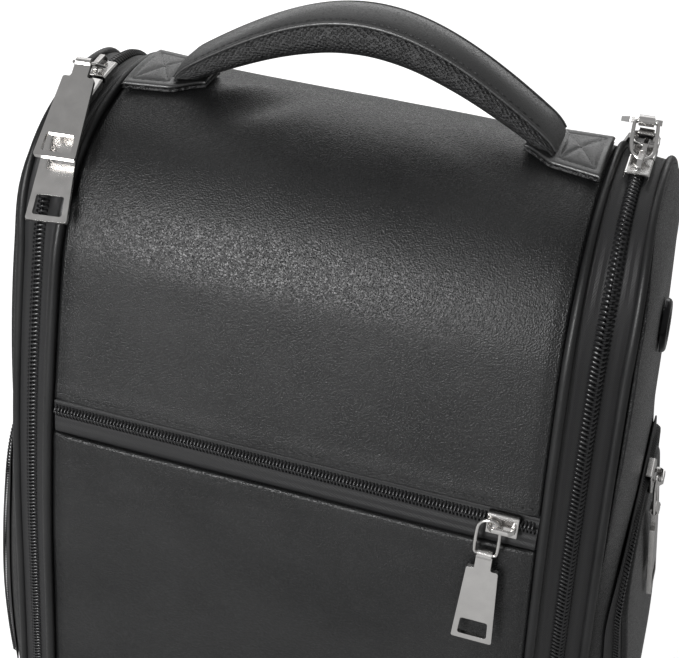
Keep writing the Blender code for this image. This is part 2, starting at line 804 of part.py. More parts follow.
def handle_arch(cover_rise, pad_drop, steps):
    """Return the seam's path over the handle as (x, z, lean, share of the full section)."""
    top = BAG_HEIGHT + HANDLE_RISE - cover_rise
    foot = BAG_HEIGHT + CLEARANCE + PATCH_THICKNESS + CLEARANCE
    parabola = 1 - HANDLE_BELL_SHARE
    # The pad's end lands on its patch: the end's height and its slope settle each other.
    end = foot
    for _ in range(8):
        slope = 2 * parabola * (top - end) / HANDLE_REACH
        end = foot + pad_drop * HANDLE_END_SHARE / math.hypot(1, slope)
    path = []
    for step in range(steps + 1):
        reach = 2 * step / steps - 1
        height = parabola * (1 - reach**2) + HANDLE_BELL_SHARE * (1 + math.cos(math.pi * reach)) / 2
        fall = 2 * parabola * reach + HANDLE_BELL_SHARE * math.pi / 2 * math.sin(math.pi * reach)
        lean = math.atan((top - end) * fall / HANDLE_REACH)
        share = HANDLE_END_SHARE + (1 - HANDLE_END_SHARE) * math.cos(reach * math.pi / 2)
        path.append((HANDLE_REACH * reach, end + (top - end) * height, lean, share))
    return path


def make_handle():
    """Make the leather cover and the mesh pad of the handle."""
    cover = handle_section(math.pi - HANDLE_SEAM_TURN, HANDLE_SEAM_TURN, 6)
    pad = handle_section(HANDLE_SEAM_TURN, -math.pi - HANDLE_SEAM_TURN, 10)
    cover_rise = max(rise for across, rise in cover)
    pad_drop = -min(rise for across, rise in pad)
    path = handle_arch(cover_rise, pad_drop, 16)
    for name, section, gap, finish in (
        ("handle_cover", cover, CLEARANCE / 2, "leather"),
        ("handle_pad", pad, -CLEARANCE / 2, "air_mesh"),
    ):
        rings = []
        for x, z, lean, share in path:
            ring = []
            for across, rise in section:
                out = rise * share + gap
                place = (x + out * math.sin(lean), HANDLE_CENTRE_DEPTH + across, z + out * math.cos(lean))
                ring.append(place)
            rings.append(ring)
        make_object(name, mesh_from(loft(rings), name), finish)


# Sliders, links and pull plates


def slider_mesh():
    """Return the slider: a channel over the coil with a crown on top.

    Its own X runs along the coil, and its own Z is out from the coil's top.
    """
    half = SLIDER_HALF_WIDTH
    inner = half - SLIDER_WALL
    top = SLIDER_LIFT + SLIDER_PLATE
    channel = [
        (-half, -SLIDER_SKIRT),
        (-half, top - SLIDER_PLATE / 2),
        (-half + SLIDER_PLATE / 2, top),
        (half - SLIDER_PLATE / 2, top),
        (half, top - SLIDER_PLATE / 2),
        (half, -SLIDER_SKIRT),
        (inner, -SLIDER_SKIRT),
        (inner, SLIDER_LIFT),
        (-inner, SLIDER_LIFT),
        (-inner, -SLIDER_SKIRT),
    ]
    reach = SLIDER_LENGTH / 2
    body = prism(channel, -reach, reach, 0)
    end = crown_post() + CROWN_POST / 2
    gap = end - CROWN_POST
    root = top - SLIDER_PLATE / 2
    ceiling = top + CROWN_TUNNEL
    roof = ceiling + CROWN_ROOF
    arch = [
        (-end, root),
        (-end, ceiling - CROWN_ROOF / 2),
        (-gap + CROWN_ROOF / 3, roof),
        (gap - CROWN_ROOF / 3, roof),
        (end, ceiling - CROWN_ROOF / 2),
        (end, root),
        (gap, root),
        (gap, ceiling),
        (-gap, ceiling),
        (-gap, root),
    ]
    crown = prism(arch, -CROWN_HALF_WIDTH, CROWN_HALF_WIDTH, 1)
    return combine(body, [("UNION", crown)], "slider")


def crown_post():
    """Return how far each post of a crown stands from the slider's middle."""
    return SLIDER_LENGTH / 2 - CROWN_POST


def link_height():
    """Return how far a link's wire lies above the coil's top."""
    return SLIDER_LIFT + SLIDER_PLATE + CROWN_TUNNEL / 2


def link_mesh():
    """Return the wire link, whose own origin is the middle of its round top.

    Its own X runs across, and its own Y runs towards the pull plate.
    """
    round_centre = LINK_HALF_WIDTH
    corner = 1.6 * LINK_WIRE_RADIUS
    foot = LINK_LENGTH
    path = []
    for step in range(7):
        turn = math.pi * step / 6
        path.append((-LINK_HALF_WIDTH * math.cos(turn), round_centre - LINK_HALF_WIDTH * math.sin(turn)))
    for way in (1, -1):
        bend = []
        for step in range(3):
            turn = math.pi / 2 * step / 2
            x = LINK_HALF_WIDTH - corner + corner * math.cos(turn)
            bend.append((way * x, foot - corner + corner * math.sin(turn)))
        path += bend if way == 1 else bend[::-1]
    sides = 6
    rings = []
    count = len(path)
    for i in range(count):
        here = Vector((*path[i], 0.0))
        ahead = Vector((*path[(i + 1) % count], 0.0)) - here
        behind = here - Vector((*path[i - 1], 0.0))
        heading = (ahead.normalized() + behind.normalized()).normalized()
        side = heading.cross(Vector((0, 0, 1)))
        ring = []
        for k in range(sides):
            turn = 2 * math.pi * k / sides
            ring.append(here + LINK_WIRE_RADIUS * (side * math.cos(turn) + Vector((0, 0, math.sin(turn)))))
        rings.append(ring)
    return mesh_from(loft(rings, closed=True), "link")


def pull_mesh():
    """Return the pull plate, whose own origin is on the link's pin.

    Its own X runs across, and its own Y runs down the plate.
    """
    bore = LINK_WIRE_RADIUS + CLEARANCE
    knuckle = bore + PULL_KNUCKLE_WALL
    neck_end = PULL_NECK_LENGTH
    foot = PULL_LENGTH
    outline = [
        (-PULL_NECK_HALF_WIDTH, 0.0),
        (PULL_NECK_HALF_WIDTH, 0.0),
        (PULL_NECK_HALF_WIDTH, neck_end),
        (PULL_SHOULDER_HALF_WIDTH, neck_end),
        (PULL_FOOT_HALF_WIDTH, foot),
        (-PULL_FOOT_HALF_WIDTH, foot),
        (-PULL_SHOULDER_HALF_WIDTH, neck_end),
        (-PULL_NECK_HALF_WIDTH, neck_end),
    ]
    half = PULL_THICKNESS / 2
    plate = prism(rounded(outline, PULL_NECK_HALF_WIDTH / 4, 2), -half, half, 2)
    window_foot = foot - PULL_WINDOW_RISE
    window_top = window_foot - PULL_WINDOW_HEIGHT
    flare = (PULL_FOOT_HALF_WIDTH - PULL_SHOULDER_HALF_WIDTH) / (foot - neck_end)
    wide = PULL_WINDOW_SHARE * (PULL_FOOT_HALF_WIDTH - flare * PULL_WINDOW_RISE)
    narrow = wide - flare * PULL_WINDOW_HEIGHT
    window = [
        (-narrow, window_top),
        (narrow, window_top),
        (wide, window_foot),
        (-wide, window_foot),
    ]
    opening = prism(rounded(window, PULL_WINDOW_HEIGHT / 9, 2), -PULL_THICKNESS, PULL_THICKNESS, 2)
    barrel_half = PULL_NECK_HALF_WIDTH - CLEARANCE
    barrel = cylinder(knuckle, -barrel_half, barrel_half, 0, 10)
    hole = cylinder(bore, -2 * PULL_NECK_HALF_WIDTH, 2 * PULL_NECK_HALF_WIDTH, 0, 10)
    steps = [("UNION", barrel), ("DIFFERENCE", hole), ("DIFFERENCE", opening)]
    return combine(plate, steps, "pull")


class PullKit:
    """The three shapes that every zip pull shares, and how they are set."""

    def __init__(self):
        self.slider = slider_mesh()
        self.link = link_mesh()
        self.pull = pull_mesh()

    def place(self, word, middle, axes, inline, carrier, swing=0.0, lift=0.0, drop=0.0):
        """Set one slider, link and pull plate on a coil.

        The axes run across the pull, down it, and out from the coil. An
        inline slider's coil runs down the pull, and any other runs across.
        The pull may swing aside, its link stand up by a lift, and its plate
        dip by a drop.
        """
        across, hang, out = axes
        coil = hang if inline else across
        turned = Matrix((coil, out.cross(coil), out)).transposed().to_4x4()
        turned.translation = middle
        make_object(word + "_slider", self.slider, "nickel", carrier, turned)
        post = middle + coil * crown_post()
        play = CROWN_POST / 2 if inline else CROWN_HALF_WIDTH
        flat = Matrix((across, hang, out)).transposed().to_4x4() @ Matrix.Rotation(swing, 4, "Z")
        back = flat.to_3x3().col[1] * (play + LINK_TOP_PLAY + LINK_WIRE_RADIUS)
        top = post + out * link_height() - back
        raised = flat @ Matrix.Rotation(lift, 4, "X")
        raised.translation = top
        make_object(word + "_link", self.link, "nickel", None, raised)
        hung = flat @ Matrix.Rotation(-drop, 4, "X")
        hung.translation = top + raised.to_3x3().col[1] * LINK_LENGTH
        make_object(word + "_pull", self.pull, "nickel", None, hung)


def chain_frame(side, distance):
    """Return the place and axes on the crest of a door's coil."""
    middle = edge_point(side, distance, *gusset_point(distance, CHAIN_MIDDLE, DOOR_COIL_HEIGHT))
    heading = OUTLINE.at(distance)[2]
    lean = gusset_shape(steepness_at(distance))[0]
    out = Vector((
        side * math.sin(lean),
        -math.sin(heading) * math.cos(lean),
        math.cos(heading) * math.cos(lean),
    ))
    # The pull lies towards the front on the left side, and to the back on the right
    along = Vector((0.0, side * math.cos(heading), side * math.sin(heading)))
    return middle, (along.cross(out), along, out)


def make_pulls(hinges):
    """Make every slider with its link and pull plate."""
    kit = PullKit()
    arc_height = BAG_HEIGHT - OUTLINE.top_radius
    for side, word in ((-1, "left"), (1, "right")):
        arc = make_pivot(word + "_chain_arc", (side * TOP_HALF_WIDTH, 0.0, arc_height))
        for level, shift, lift, drop in (
            ("upper", UPPER_SLIDER_SHIFT, UPPER_LINK_LIFT, UPPER_PULL_DROP),
            ("lower", LOWER_SLIDER_SHIFT, LOWER_LINK_LIFT, LOWER_PULL_DROP),
        ):
            middle, axes = chain_frame(side, OUTLINE.length / 2 - side * shift)
            kit.place(word + "_" + level, middle, axes, True, arc, DOOR_PULL_SWING, lift, drop)

        lift = SKIN_GAP + SIDE_TAPE_THICKNESS + SIDE_COIL_HEIGHT
        axes = door_frame(side, 0.0, SIDE_ZIP_HEIGHT, Vector((0, 0, -1)))
        middle = door_point(side, 0.0, SIDE_ZIP_HEIGHT, lift)
        kit.place(word + "_side_pocket", middle, axes, False, hinges[side])

    middle = edge_point(1, POCKET_ZIP, 0.0, POCKET_TAPE_SINK - POCKET_COIL_HEIGHT)
    middle.x = POCKET_SLIDER_X
    heading = OUTLINE.at(POCKET_ZIP)[2]
    out = Vector((0.0, -math.sin(heading), math.cos(heading)))
    hang = Vector((0.0, -math.cos(heading), -math.sin(heading)))
    kit.place("front_pocket", middle, (hang.cross(out), hang, out), False, None)


def main():
    """Build the whole bag in an empty scene."""
    for piece in list(bpy.data.objects):
        bpy.data.objects.remove(piece, do_unlink=True)
    make_band()
    make_lining()
    make_front_zip()
    make_patches()
    make_handle()
    hinges = {}
    for side, word in ((-1, "left"), (1, "right")):
        axis = edge_point(side, 0.0, *gusset_point(0.0, GUSSET_WIDTH, 0.0))
        hinges[side] = make_pivot(word + "_door_hinge", axis)
        make_gussets(side, word, hinges[side])
        make_door(side, word, hinges[side])
    make_pulls(hinges)


if __name__ == "__main__":
    main()
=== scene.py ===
"""Dress the golf shoe bag: leather, zips, handle, lining and zip pulls.

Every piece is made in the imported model's own frame, in metres, with +Z up and
the front facing -Y, and it rides on the body that carries it.
"""
import json
import logging
import math
from dataclasses import dataclass
from enum import Enum
from functools import cached_property
from typing import Callable, Sequence

import bmesh
import bpy
from mathutils import Matrix, Vector, noise

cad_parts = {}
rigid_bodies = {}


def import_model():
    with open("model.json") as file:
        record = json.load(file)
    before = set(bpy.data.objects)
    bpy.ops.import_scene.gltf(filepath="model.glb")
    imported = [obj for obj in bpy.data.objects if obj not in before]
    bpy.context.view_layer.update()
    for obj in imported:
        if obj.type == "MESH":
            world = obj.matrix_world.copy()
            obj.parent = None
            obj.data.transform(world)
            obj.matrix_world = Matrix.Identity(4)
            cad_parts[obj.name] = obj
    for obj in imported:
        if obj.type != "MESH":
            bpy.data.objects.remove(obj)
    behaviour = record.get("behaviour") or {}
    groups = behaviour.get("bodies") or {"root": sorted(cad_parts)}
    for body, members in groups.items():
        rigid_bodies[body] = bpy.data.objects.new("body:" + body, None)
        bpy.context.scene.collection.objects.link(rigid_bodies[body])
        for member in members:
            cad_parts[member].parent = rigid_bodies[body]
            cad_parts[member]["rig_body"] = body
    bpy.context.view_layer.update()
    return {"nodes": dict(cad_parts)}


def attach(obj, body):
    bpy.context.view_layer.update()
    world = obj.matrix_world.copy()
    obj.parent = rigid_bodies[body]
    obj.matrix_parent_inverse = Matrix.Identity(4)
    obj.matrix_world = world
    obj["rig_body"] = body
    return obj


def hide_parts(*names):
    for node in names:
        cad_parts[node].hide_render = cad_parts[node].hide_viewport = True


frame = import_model()
LOG = logging.getLogger("shoe_bag")
ROOT = "bag_body"

Place = Callable[[float, float], Vector]
Section = Sequence[tuple[float, float]]
Colour = tuple[float, float, float]


class Side(Enum):
    """One side of the bag, seen from the front."""

    LEFT = -1
    RIGHT = 1

    @property
    def word(self) -> str:
        """The side's name in the names of pieces."""
        return self.name.lower()

    @property
    def door(self) -> str:
        """The body of the side's door."""
        return f"{self.word}_door"


class Slot(Enum):
    """The record's material slots, named for the pieces made here; no piece is given one."""

    LEATHER = "leather"
    PIPING = "piping_leather"
    LINING = "lining_cloth"
    TAPE = "zip_tape"
    MESH = "air_mesh"
    NICKEL = "nickel"
    BLACK_METAL = "black_metal"


# Shape of the bag


def ramp(value: float, start: float, end: float) -> float:
    """Return a smooth step from 0 at start to 1 at end.

    Args:
        value: The place to judge.
        start: Where the step begins.
        end: Where the step is complete.

    Returns:
        A number from 0 to 1.
    """
    share = min(1.0, max(0.0, (value - start) / (end - start)))
    return share * share * (3 - 2 * share)


def ridge(value: float, middle: float, width: float) -> float:
    """Return a bell of height 1 at the middle, about twice the width across."""
    return math.exp(-(((value - middle) / width) ** 2))


def mound(sizes: tuple[float, float, float], along: float, aside: float) -> float:
    """Return the rise of a soft mound of a height, a half length and a half width."""
    height, length, width = sizes
    return height * math.exp(-((along / length) ** 2) - (aside / width) ** 2)


def ripple(point: Vector, size: float, seed: float) -> float:
    """Return gentle noise from -1 to 1 whose lumps are about that size."""
    return noise.noise(point / size + Vector((seed, 2 * seed, 3 * seed)))


class Route:
    """A line of points in a plane, walked by its share of the whole length."""

    def __init__(self, points: Sequence[tuple[float, float]]) -> None:
        """Measure the line.

        Args:
            points: The line's corners in order.
        """
        self.points = [Vector(point) for point in points]
        self.marks = [0.0]
        for before, after in zip(self.points, self.points[1:]):
            self.marks.append(self.marks[-1] + (after - before).length)
        self.length = self.marks[-1]

    def at(self, share: float) -> Vector:
        """Return the point at a share of the length, from 0 to 1."""
        wanted = min(1.0, max(0.0, share)) * self.length
        low, high = 0, len(self.marks) - 1
        while high - low > 1:
            middle = (low + high) // 2
            if self.marks[middle] <= wanted:
                low = middle
            else:
                high = middle
        span = self.marks[high] - self.marks[low]
        part = (wanted - self.marks[low]) / span if span else 0.0
        return self.points[low].lerp(self.points[high], part)


@dataclass(frozen=True)
class BagShape:
    """Sizes of the bag's body, and the curves that its pieces follow."""

    height: float = 0.351
    depth: float = 0.162
    base_half_width: float = 0.1155
    top_half_width: float = 0.0985
    taper_power: float = 1.15
    arch_start: float = 0.157
    front_turn: float = math.radians(11)
    corner_turn: float = math.radians(63)
    corner_radius: float = 0.059
    base_radius: float = 0.025
    gusset_width: float = 0.0245
    gusset_lean: float = math.radians(33)
    gusset_top_share: float = 0.78
    clearance: float = 0.0003
    inner_piping: float = 0.0020
    outer_piping: float = 0.0018
    door_dome: float = 0.0083
    door_centre: float = 0.150
    arch_squareness: float = 4
    base_squareness: float = 10
    edge_roundness: float = 0.42
    pocket_dome: float = 0.0104
    pocket_fullest: float = 0.105
    pocket_reach_up: float = 0.122
    pocket_reach_down: float = 0.105

    @cached_property
    def stretches(self) -> list[tuple[float, float]]:
        """Lengths and radii of the side outline, from the middle of the base up the front."""
        top_end = self.front_turn + self.corner_turn
        corner_up = self.corner_radius * (math.sin(top_end) - math.sin(self.front_turn))
        corner_in = self.corner_radius * (math.cos(self.front_turn) - math.cos(top_end))
        front_up, front_in = math.sin(self.front_turn), 1 - math.cos(self.front_turn)
        top_up, top_in = 1 - math.sin(top_end), math.cos(top_end)
        spare_up = self.height - self.arch_start - corner_up
        spare_in = self.depth / 2 - corner_in
        fit = front_up * top_in - front_in * top_up
        front_radius = (spare_up * top_in - spare_in * top_up) / fit
        top_radius = (front_up * spare_in - front_in * spare_up) / fit
        half = [
            (self.depth / 2 - self.base_radius, 0.0),
            (self.base_radius * math.pi / 2, self.base_radius),
            (self.arch_start - self.base_radius, 0.0),
            (front_radius * self.front_turn, front_radius),
            (self.corner_radius * self.corner_turn, self.corner_radius),
            (top_radius * (math.pi / 2 - top_end), top_radius),
        ]
        return half + half[::-1]

    @cached_property
    def length(self) -> float:
        """Length once round the side outline."""
        return sum(length for length, _ in self.stretches)

    @cached_property
    def base_end(self) -> float:
        """Distance at which the base has turned up into the front."""
        return self.stretches[0][0] + self.stretches[1][0]

    @cached_property
    def corner_foot(self) -> float:
        """Height at which the upper front corner starts."""
        return self.at(sum(length for length, _ in self.stretches[:4]))[1]

    @cached_property
    def door_margin(self) -> float:
        """Gap from the outer piping's middle to the door's edge."""
        return self.outer_piping + self.clearance

    @cached_property
    def door_inset(self) -> float:
        """How far the door's edge lies inside the outline on the walls."""
        return self.gusset_width * math.sin(self.gusset_lean) + self.door_margin

    @cached_property
    def door_half_depth(self) -> float:
        """Half the door's width from front to back."""
        return self.depth / 2 - self.door_inset

    @cached_property
    def door_top(self) -> float:
        """Height of the door's top edge."""
        return self.height - self.door_margin

    def at(self, distance: float) -> tuple[float, float, float]:
        """Return the depth, height and heading reached after a distance."""
        left = distance % self.length
        depth, height, heading = 0.0, 0.0, math.pi
        for length, radius in self.stretches:
            step = min(left, length)
            if radius:
                turned = heading - step / radius
                depth += radius * (math.sin(heading) - math.sin(turned))
                height += radius * (math.cos(turned) - math.cos(heading))
                heading = turned
            else:
                depth += step * math.cos(heading)
                height += step * math.sin(heading)
            left -= step
            if left <= 0:
                break
        return depth, height, heading

    def up_front(self, wanted: float) -> float:
        """Return the distance at which the front reaches a height."""
        low, high = 0.0, self.length / 2
        for _ in range(50):
            middle = (low + high) / 2
            if self.at(middle)[1] < wanted:
                low = middle
            else:
                high = middle
        return low

    def inside(self, distance: float, inset: float) -> tuple[float, float]:
        """Return the depth and height of a point moved in from the skin."""
        depth, height, heading = self.at(distance)
        return depth + inset * math.sin(heading), height - inset * math.cos(heading)

    def half_width(self, height: float) -> float:
        """Return half the width between the inner pipings at a height."""
        share = max(0.0, 1 - height / self.height) ** self.taper_power
        return self.top_half_width + (self.base_half_width - self.top_half_width) * share

    def gusset_shape(self, steepness: float) -> tuple[float, float]:
        """Return the gusset's lean and its share of the full width."""
        share = self.gusset_top_share + (1 - self.gusset_top_share) * steepness
        return self.gusset_lean * steepness, share

    def steepness(self, distance: float) -> float:
        """Return how steep the outline is, with all below the front as steep."""
        heading = self.at(distance)[2]
        return math.sin(heading) ** 2 if math.cos(heading) > 0 else 1.0

    def gusset_point(self, side: Side, distance: float, along: float, rise: float) -> Vector:
        """Return a point on the sloping gusset.

        Args:
            side: The side of the bag.
            distance: The way round the outline.
            along: The way from the inner piping to the outer one.
            rise: The height over the gusset's face.

        Returns:
            The point in the bag's frame.
        """
        lean, share = self.gusset_shape(self.steepness(distance))
        lateral = share * along * math.cos(lean) + rise * math.sin(lean)
        inset = share * along * math.sin(lean) - rise * math.cos(lean)
        depth, height = self.inside(distance, inset)
        return Vector((side.value * (self.half_width(height) + lateral), depth, height))

    def door_share(self, depth: float, height: float) -> float:
        """Return how far a point is from the door's middle to its edge."""
        across = abs(depth) / self.door_half_depth
        reach, square = self.door_top - self.door_centre, self.arch_squareness
        if height < self.door_centre:
            reach, square = self.door_centre - self.door_inset, self.base_squareness
        along = abs(height - self.door_centre) / reach
        return min(1.0, (across ** square + along ** square) ** (1 / square))

    def door_swell(self, depth: float, height: float) -> float:
        """Return how far the door's skin stands out from its edge plane."""
        dome = self.door_dome * (1 - self.door_share(depth, height) ** 3) ** self.edge_roundness
        reach = self.pocket_reach_up if height >= self.pocket_fullest else self.pocket_reach_down
        along = min(1.0, abs(height - self.pocket_fullest) / reach)
        across = min(1.0, abs(depth) / self.door_half_depth)
        return dome + self.pocket_dome * (1 - along ** 2) ** 2 * math.sqrt(1 - across ** 4)

    def door_reach(self, height: float) -> float:
        """Return how far the door's edge lies from the band at a height."""
        share = (height - self.corner_foot) / (self.door_top - self.corner_foot)
        share = min(1.0, max(0.0, share))
        lean, width_share = self.gusset_shape(math.cos(share * math.pi / 2) ** 2)
        return width_share * self.gusset_width * math.cos(lean)

    def door_point(self, side: Side, depth: float, height: float, lift: float = 0.0) -> Vector:
        """Return a point over the door's skin, lifted straight out from it."""
        reach = self.half_width(height) + self.door_reach(height)
        reach += self.door_swell(depth, height) + lift
        return Vector((side.value * reach, depth, height))

    def door_rim(self, mark: float, sewn: float = 0.0) -> tuple[float, float]:
        """Return the depth and height of the door's edge beside a mark, taken under its piping if sewn."""
        lean, share = self.gusset_shape(self.steepness(mark))
        return self.inside(mark, share * self.gusset_width * math.sin(lean) + self.door_margin - sewn)


# Shader nodes


def feed(tree: bpy.types.NodeTree, socket: bpy.types.NodeSocket, value: object) -> None:
    """Link a signal to a socket, or set the socket's own value."""
    if isinstance(value, Signal):
        tree.links.new(value.socket, socket)
    elif isinstance(value, tuple) and len(value) == 3 and socket.type == "RGBA":
        socket.default_value = (*value, 1.0)
    else:
        socket.default_value = value


class Signal:
    """One output of a shader node, with arithmetic that adds Math nodes."""

    def __init__(self, tree: bpy.types.NodeTree, socket: bpy.types.NodeSocket) -> None:
        """Wrap a socket of a node tree."""
        self.tree = tree
        self.socket = socket

    def apply(self, operation: str, *values: object) -> "Signal":
        """Return the result of a Math node.

        Args:
            operation: The Math node's operation.
            values: The signals or numbers that it takes, in order.

        Returns:
            The node's result.
        """
        node = self.tree.nodes.new("ShaderNodeMath")
        node.operation = operation
        for socket, value in zip(node.inputs, values):
            feed(self.tree, socket, value)
        return Signal(self.tree, node.outputs[0])

    def __add__(self, other: object) -> "Signal":
        """Add a signal or a number."""
        return self.apply("ADD", self, other)

    def __radd__(self, other: object) -> "Signal":
        """Add to a number."""
        return self.apply("ADD", other, self)

    def __sub__(self, other: object) -> "Signal":
        """Take a signal or a number away."""
        return self.apply("SUBTRACT", self, other)

    def __rsub__(self, other: object) -> "Signal":
        """Take this from a number."""
        return self.apply("SUBTRACT", other, self)

    def __mul__(self, other: object) -> "Signal":
        """Multiply by a signal or a number."""
        return self.apply("MULTIPLY", self, other)

    def __rmul__(self, other: object) -> "Signal":
        """Multiply a number."""
        return self.apply("MULTIPLY", other, self)

    def sine(self) -> "Signal":
        """Return the sine."""
        return self.apply("SINE", self)

    def folded(self, width: float) -> "Signal":
        """Return the value folded to and fro over a width."""
        return self.apply("PINGPONG", self, width)


class Coordinates(Enum):
    """Where a texture is measured."""

    OBJECT = "Object"
    UV = "UV"


class Recipe:
    """A node tree under way, of a material or of the world."""

    def __init__(self, tree: bpy.types.NodeTree) -> None:
        """Start on a node tree."""
        self.tree = tree

    def node(self, kind: str, settings: dict, sockets: dict, output: object = 0) -> Signal:
        """Add any node.

        Args:
            kind: The node's type.
            settings: Its own settings by name.
            sockets: Its inputs by name or number.
            output: The wanted output by name or number.

        Returns:
            That output.
        """
        node = self.tree.nodes.new(kind)
        for name, value in settings.items():
            setattr(node, name, value)
        for name, value in sockets.items():
            feed(self.tree, node.inputs[name], value)
        return Signal(self.tree, node.outputs[output])

    def where(self, coordinates: Coordinates) -> Signal:
        """Return the texture coordinates of that kind."""
        return self.node("ShaderNodeTexCoord", {}, {}, coordinates.value)

    def axis(self, vector: Signal, letter: str) -> Signal:
        """Return one part of a vector, by its letter."""
        return self.node("ShaderNodeSeparateXYZ", {}, {"Vector": vector}, letter)

    def noise(self, vector: Signal, size: float, detail: float = 2.0) -> Signal:
        """Return noise from 0 to 1 whose lumps have about that size."""
        return self.node("ShaderNodeTexNoise", {}, {"Vector": vector, "Scale": 1 / size, "Detail": detail})

    def cells(self, vector: Signal, size: float, loose: float = 1.0) -> Signal:
        """Return the distance to the nearest of cells of about that size."""
        sockets = {"Vector": vector, "Scale": 1 / size, "Smoothness": 0.4, "Randomness": loose}
        return self.node("ShaderNodeTexVoronoi", {"feature": "SMOOTH_F1"}, sockets, "Distance")

    def scattered(self, vector: Signal, size: float) -> Signal:
        """Return one random value for each cell of a size."""
        cells = self.node("ShaderNodeTexVoronoi", {}, {"Vector": vector, "Scale": 1 / size}, "Color")
        return self.axis(cells, "X")

    def step(self, value: Signal, low: float, high: float) -> Signal:
        """Return a smooth step of a value from 0 at low to 1 at high."""
        settings = {"interpolation_type": "SMOOTHSTEP"}
        return self.node("ShaderNodeMapRange", settings, {"Value": value, 1: low, 2: high})

    def colours(self, factor: Signal, first: Colour, second: Colour) -> Signal:
        """Return a colour between two, by a factor."""
        sockets = {0: factor, 6: first, 7: second}
        return self.node("ShaderNodeMix", {"data_type": "RGBA"}, sockets, 2)

    def bump(self, height: Signal, depth: float, strength: float = 1.0) -> Signal:
        """Return a normal bent by a height from 0 to 1 of that depth in metres."""
        return self.node("ShaderNodeBump", {}, {"Height": height, "Distance": depth, "Strength": strength})


def new_material(name: str) -> tuple[bpy.types.Material, Recipe]:
    """Return a fresh material and the recipe on its node tree."""
    material = bpy.data.materials.new(name)
    material.use_nodes = True
    return material, Recipe(material.node_tree)


def dress(recipe: Recipe, values: dict) -> None:
    """Give the main shader its inputs by name."""
    shader = recipe.tree.nodes["Principled BSDF"]
    for name, value in values.items():
        feed(recipe.tree, shader.inputs[name], value)


# Finishes


@dataclass(frozen=True)
class Finish:
    """One material of the bag."""

    name: str

    def inputs(self, recipe: Recipe) -> dict:
        """Return the main shader's inputs by name."""
        raise NotImplementedError

    def build(self) -> bpy.types.Material:
        """Return the material."""
        material, recipe = new_material(self.name)
        dress(recipe, self.inputs(recipe))
        return material


@dataclass(frozen=True)
class Leather(Finish):
    """Coated synthetic leather with a fine pebbled grain."""

    dark: Colour = (0.0058, 0.0060, 0.0063)
    light: Colour = (0.0115, 0.0117, 0.0120)
    grain: float = 0.00062
    grain_depth: float = 0.00022
    roughness: float = 0.33
    blotch: float = 0.035
    fleck: float = 0.00036
    fleck_weight: float = 0.55
    specular: float = 0.36
    coat_roughness: float = 0.30

    def inputs(self, recipe: Recipe) -> dict:
        """Return the main shader's inputs by name."""
        where = recipe.where(Coordinates.OBJECT)
        pebbles = recipe.cells(where, self.grain)
        creases = recipe.noise(where, 3.2 * self.grain, 3.0)
        pores = recipe.noise(where, 0.45 * self.grain, 2.0)
        blotches = recipe.noise(where, self.blotch, 3.0)
        tone = recipe.step(blotches + 0.35 * pores, 0.42, 0.86)
        height = 1.0 - pebbles + 0.05 * creases + 0.30 * pores
        return {
            "Base Color": recipe.colours(tone, self.dark, self.light),
            "Roughness": self.roughness + 0.12 * (blotches - 0.5) + 0.45 * (pebbles - 0.40),
            "Normal": recipe.bump(height, self.grain_depth),
            "Specular IOR Level": self.specular,
            "Coat Weight": self.fleck_weight * recipe.step(recipe.scattered(where, self.fleck), 0.80, 0.92),
            "Coat Roughness": self.coat_roughness,
        }


@dataclass(frozen=True)
class TwillTape(Finish):
    """Woven zip tape in a herringbone twill."""

    dark: Colour = (0.0035, 0.0035, 0.0038)
    light: Colour = (0.019, 0.019, 0.020)
    rib: float = 0.0009
    stripe: float = 0.0021
    depth: float = 0.00014
    roughness: float = 0.58
    lint: float = 0.0007

    def inputs(self, recipe: Recipe) -> dict:
        """Return the main shader's inputs by name."""
        where = recipe.where(Coordinates.UV)
        along = recipe.axis(where, "X")
        across = recipe.axis(where, "Y")
        slant = along + across.folded(self.stripe)
        ribs = 0.5 + 0.5 * (slant * (2 * math.pi / self.rib)).sine()
        stripes = 0.5 + 0.5 * (across * (math.pi / self.stripe)).sine()
        lint = recipe.noise(recipe.where(Coordinates.OBJECT), self.lint, 2.0)
        height = 0.7 * ribs + 0.15 * stripes + 0.3 * lint
        return {
            "Base Color": recipe.colours(0.75 * ribs + 0.25 * lint, self.dark, self.light),
            "Roughness": self.roughness - 0.12 * ribs + 0.2 * (lint - 0.5),
            "Normal": recipe.bump(height, self.depth),
        }


@dataclass(frozen=True)
class Nylon(Finish):
    """Moulded nylon of the zip coils."""

    dark: Colour = (0.006, 0.006, 0.0065)
    light: Colour = (0.017, 0.017, 0.018)
    roughness: float = 0.24
    drawn: float = 0.0011
    worn: float = 0.018
    depth: float = 0.00003

    def inputs(self, recipe: Recipe) -> dict:
        """Return the main shader's inputs by name."""
        where = recipe.where(Coordinates.OBJECT)
        drawn = recipe.noise(where, self.drawn, 2.0)
        worn = recipe.noise(where, self.worn, 2.0)
        return {
            "Base Color": recipe.colours(worn, self.dark, self.light),
            "Roughness": self.roughness + 0.18 * (drawn - 0.5) + 0.10 * (worn - 0.5),
            "Normal": recipe.bump(drawn, self.depth),
        }


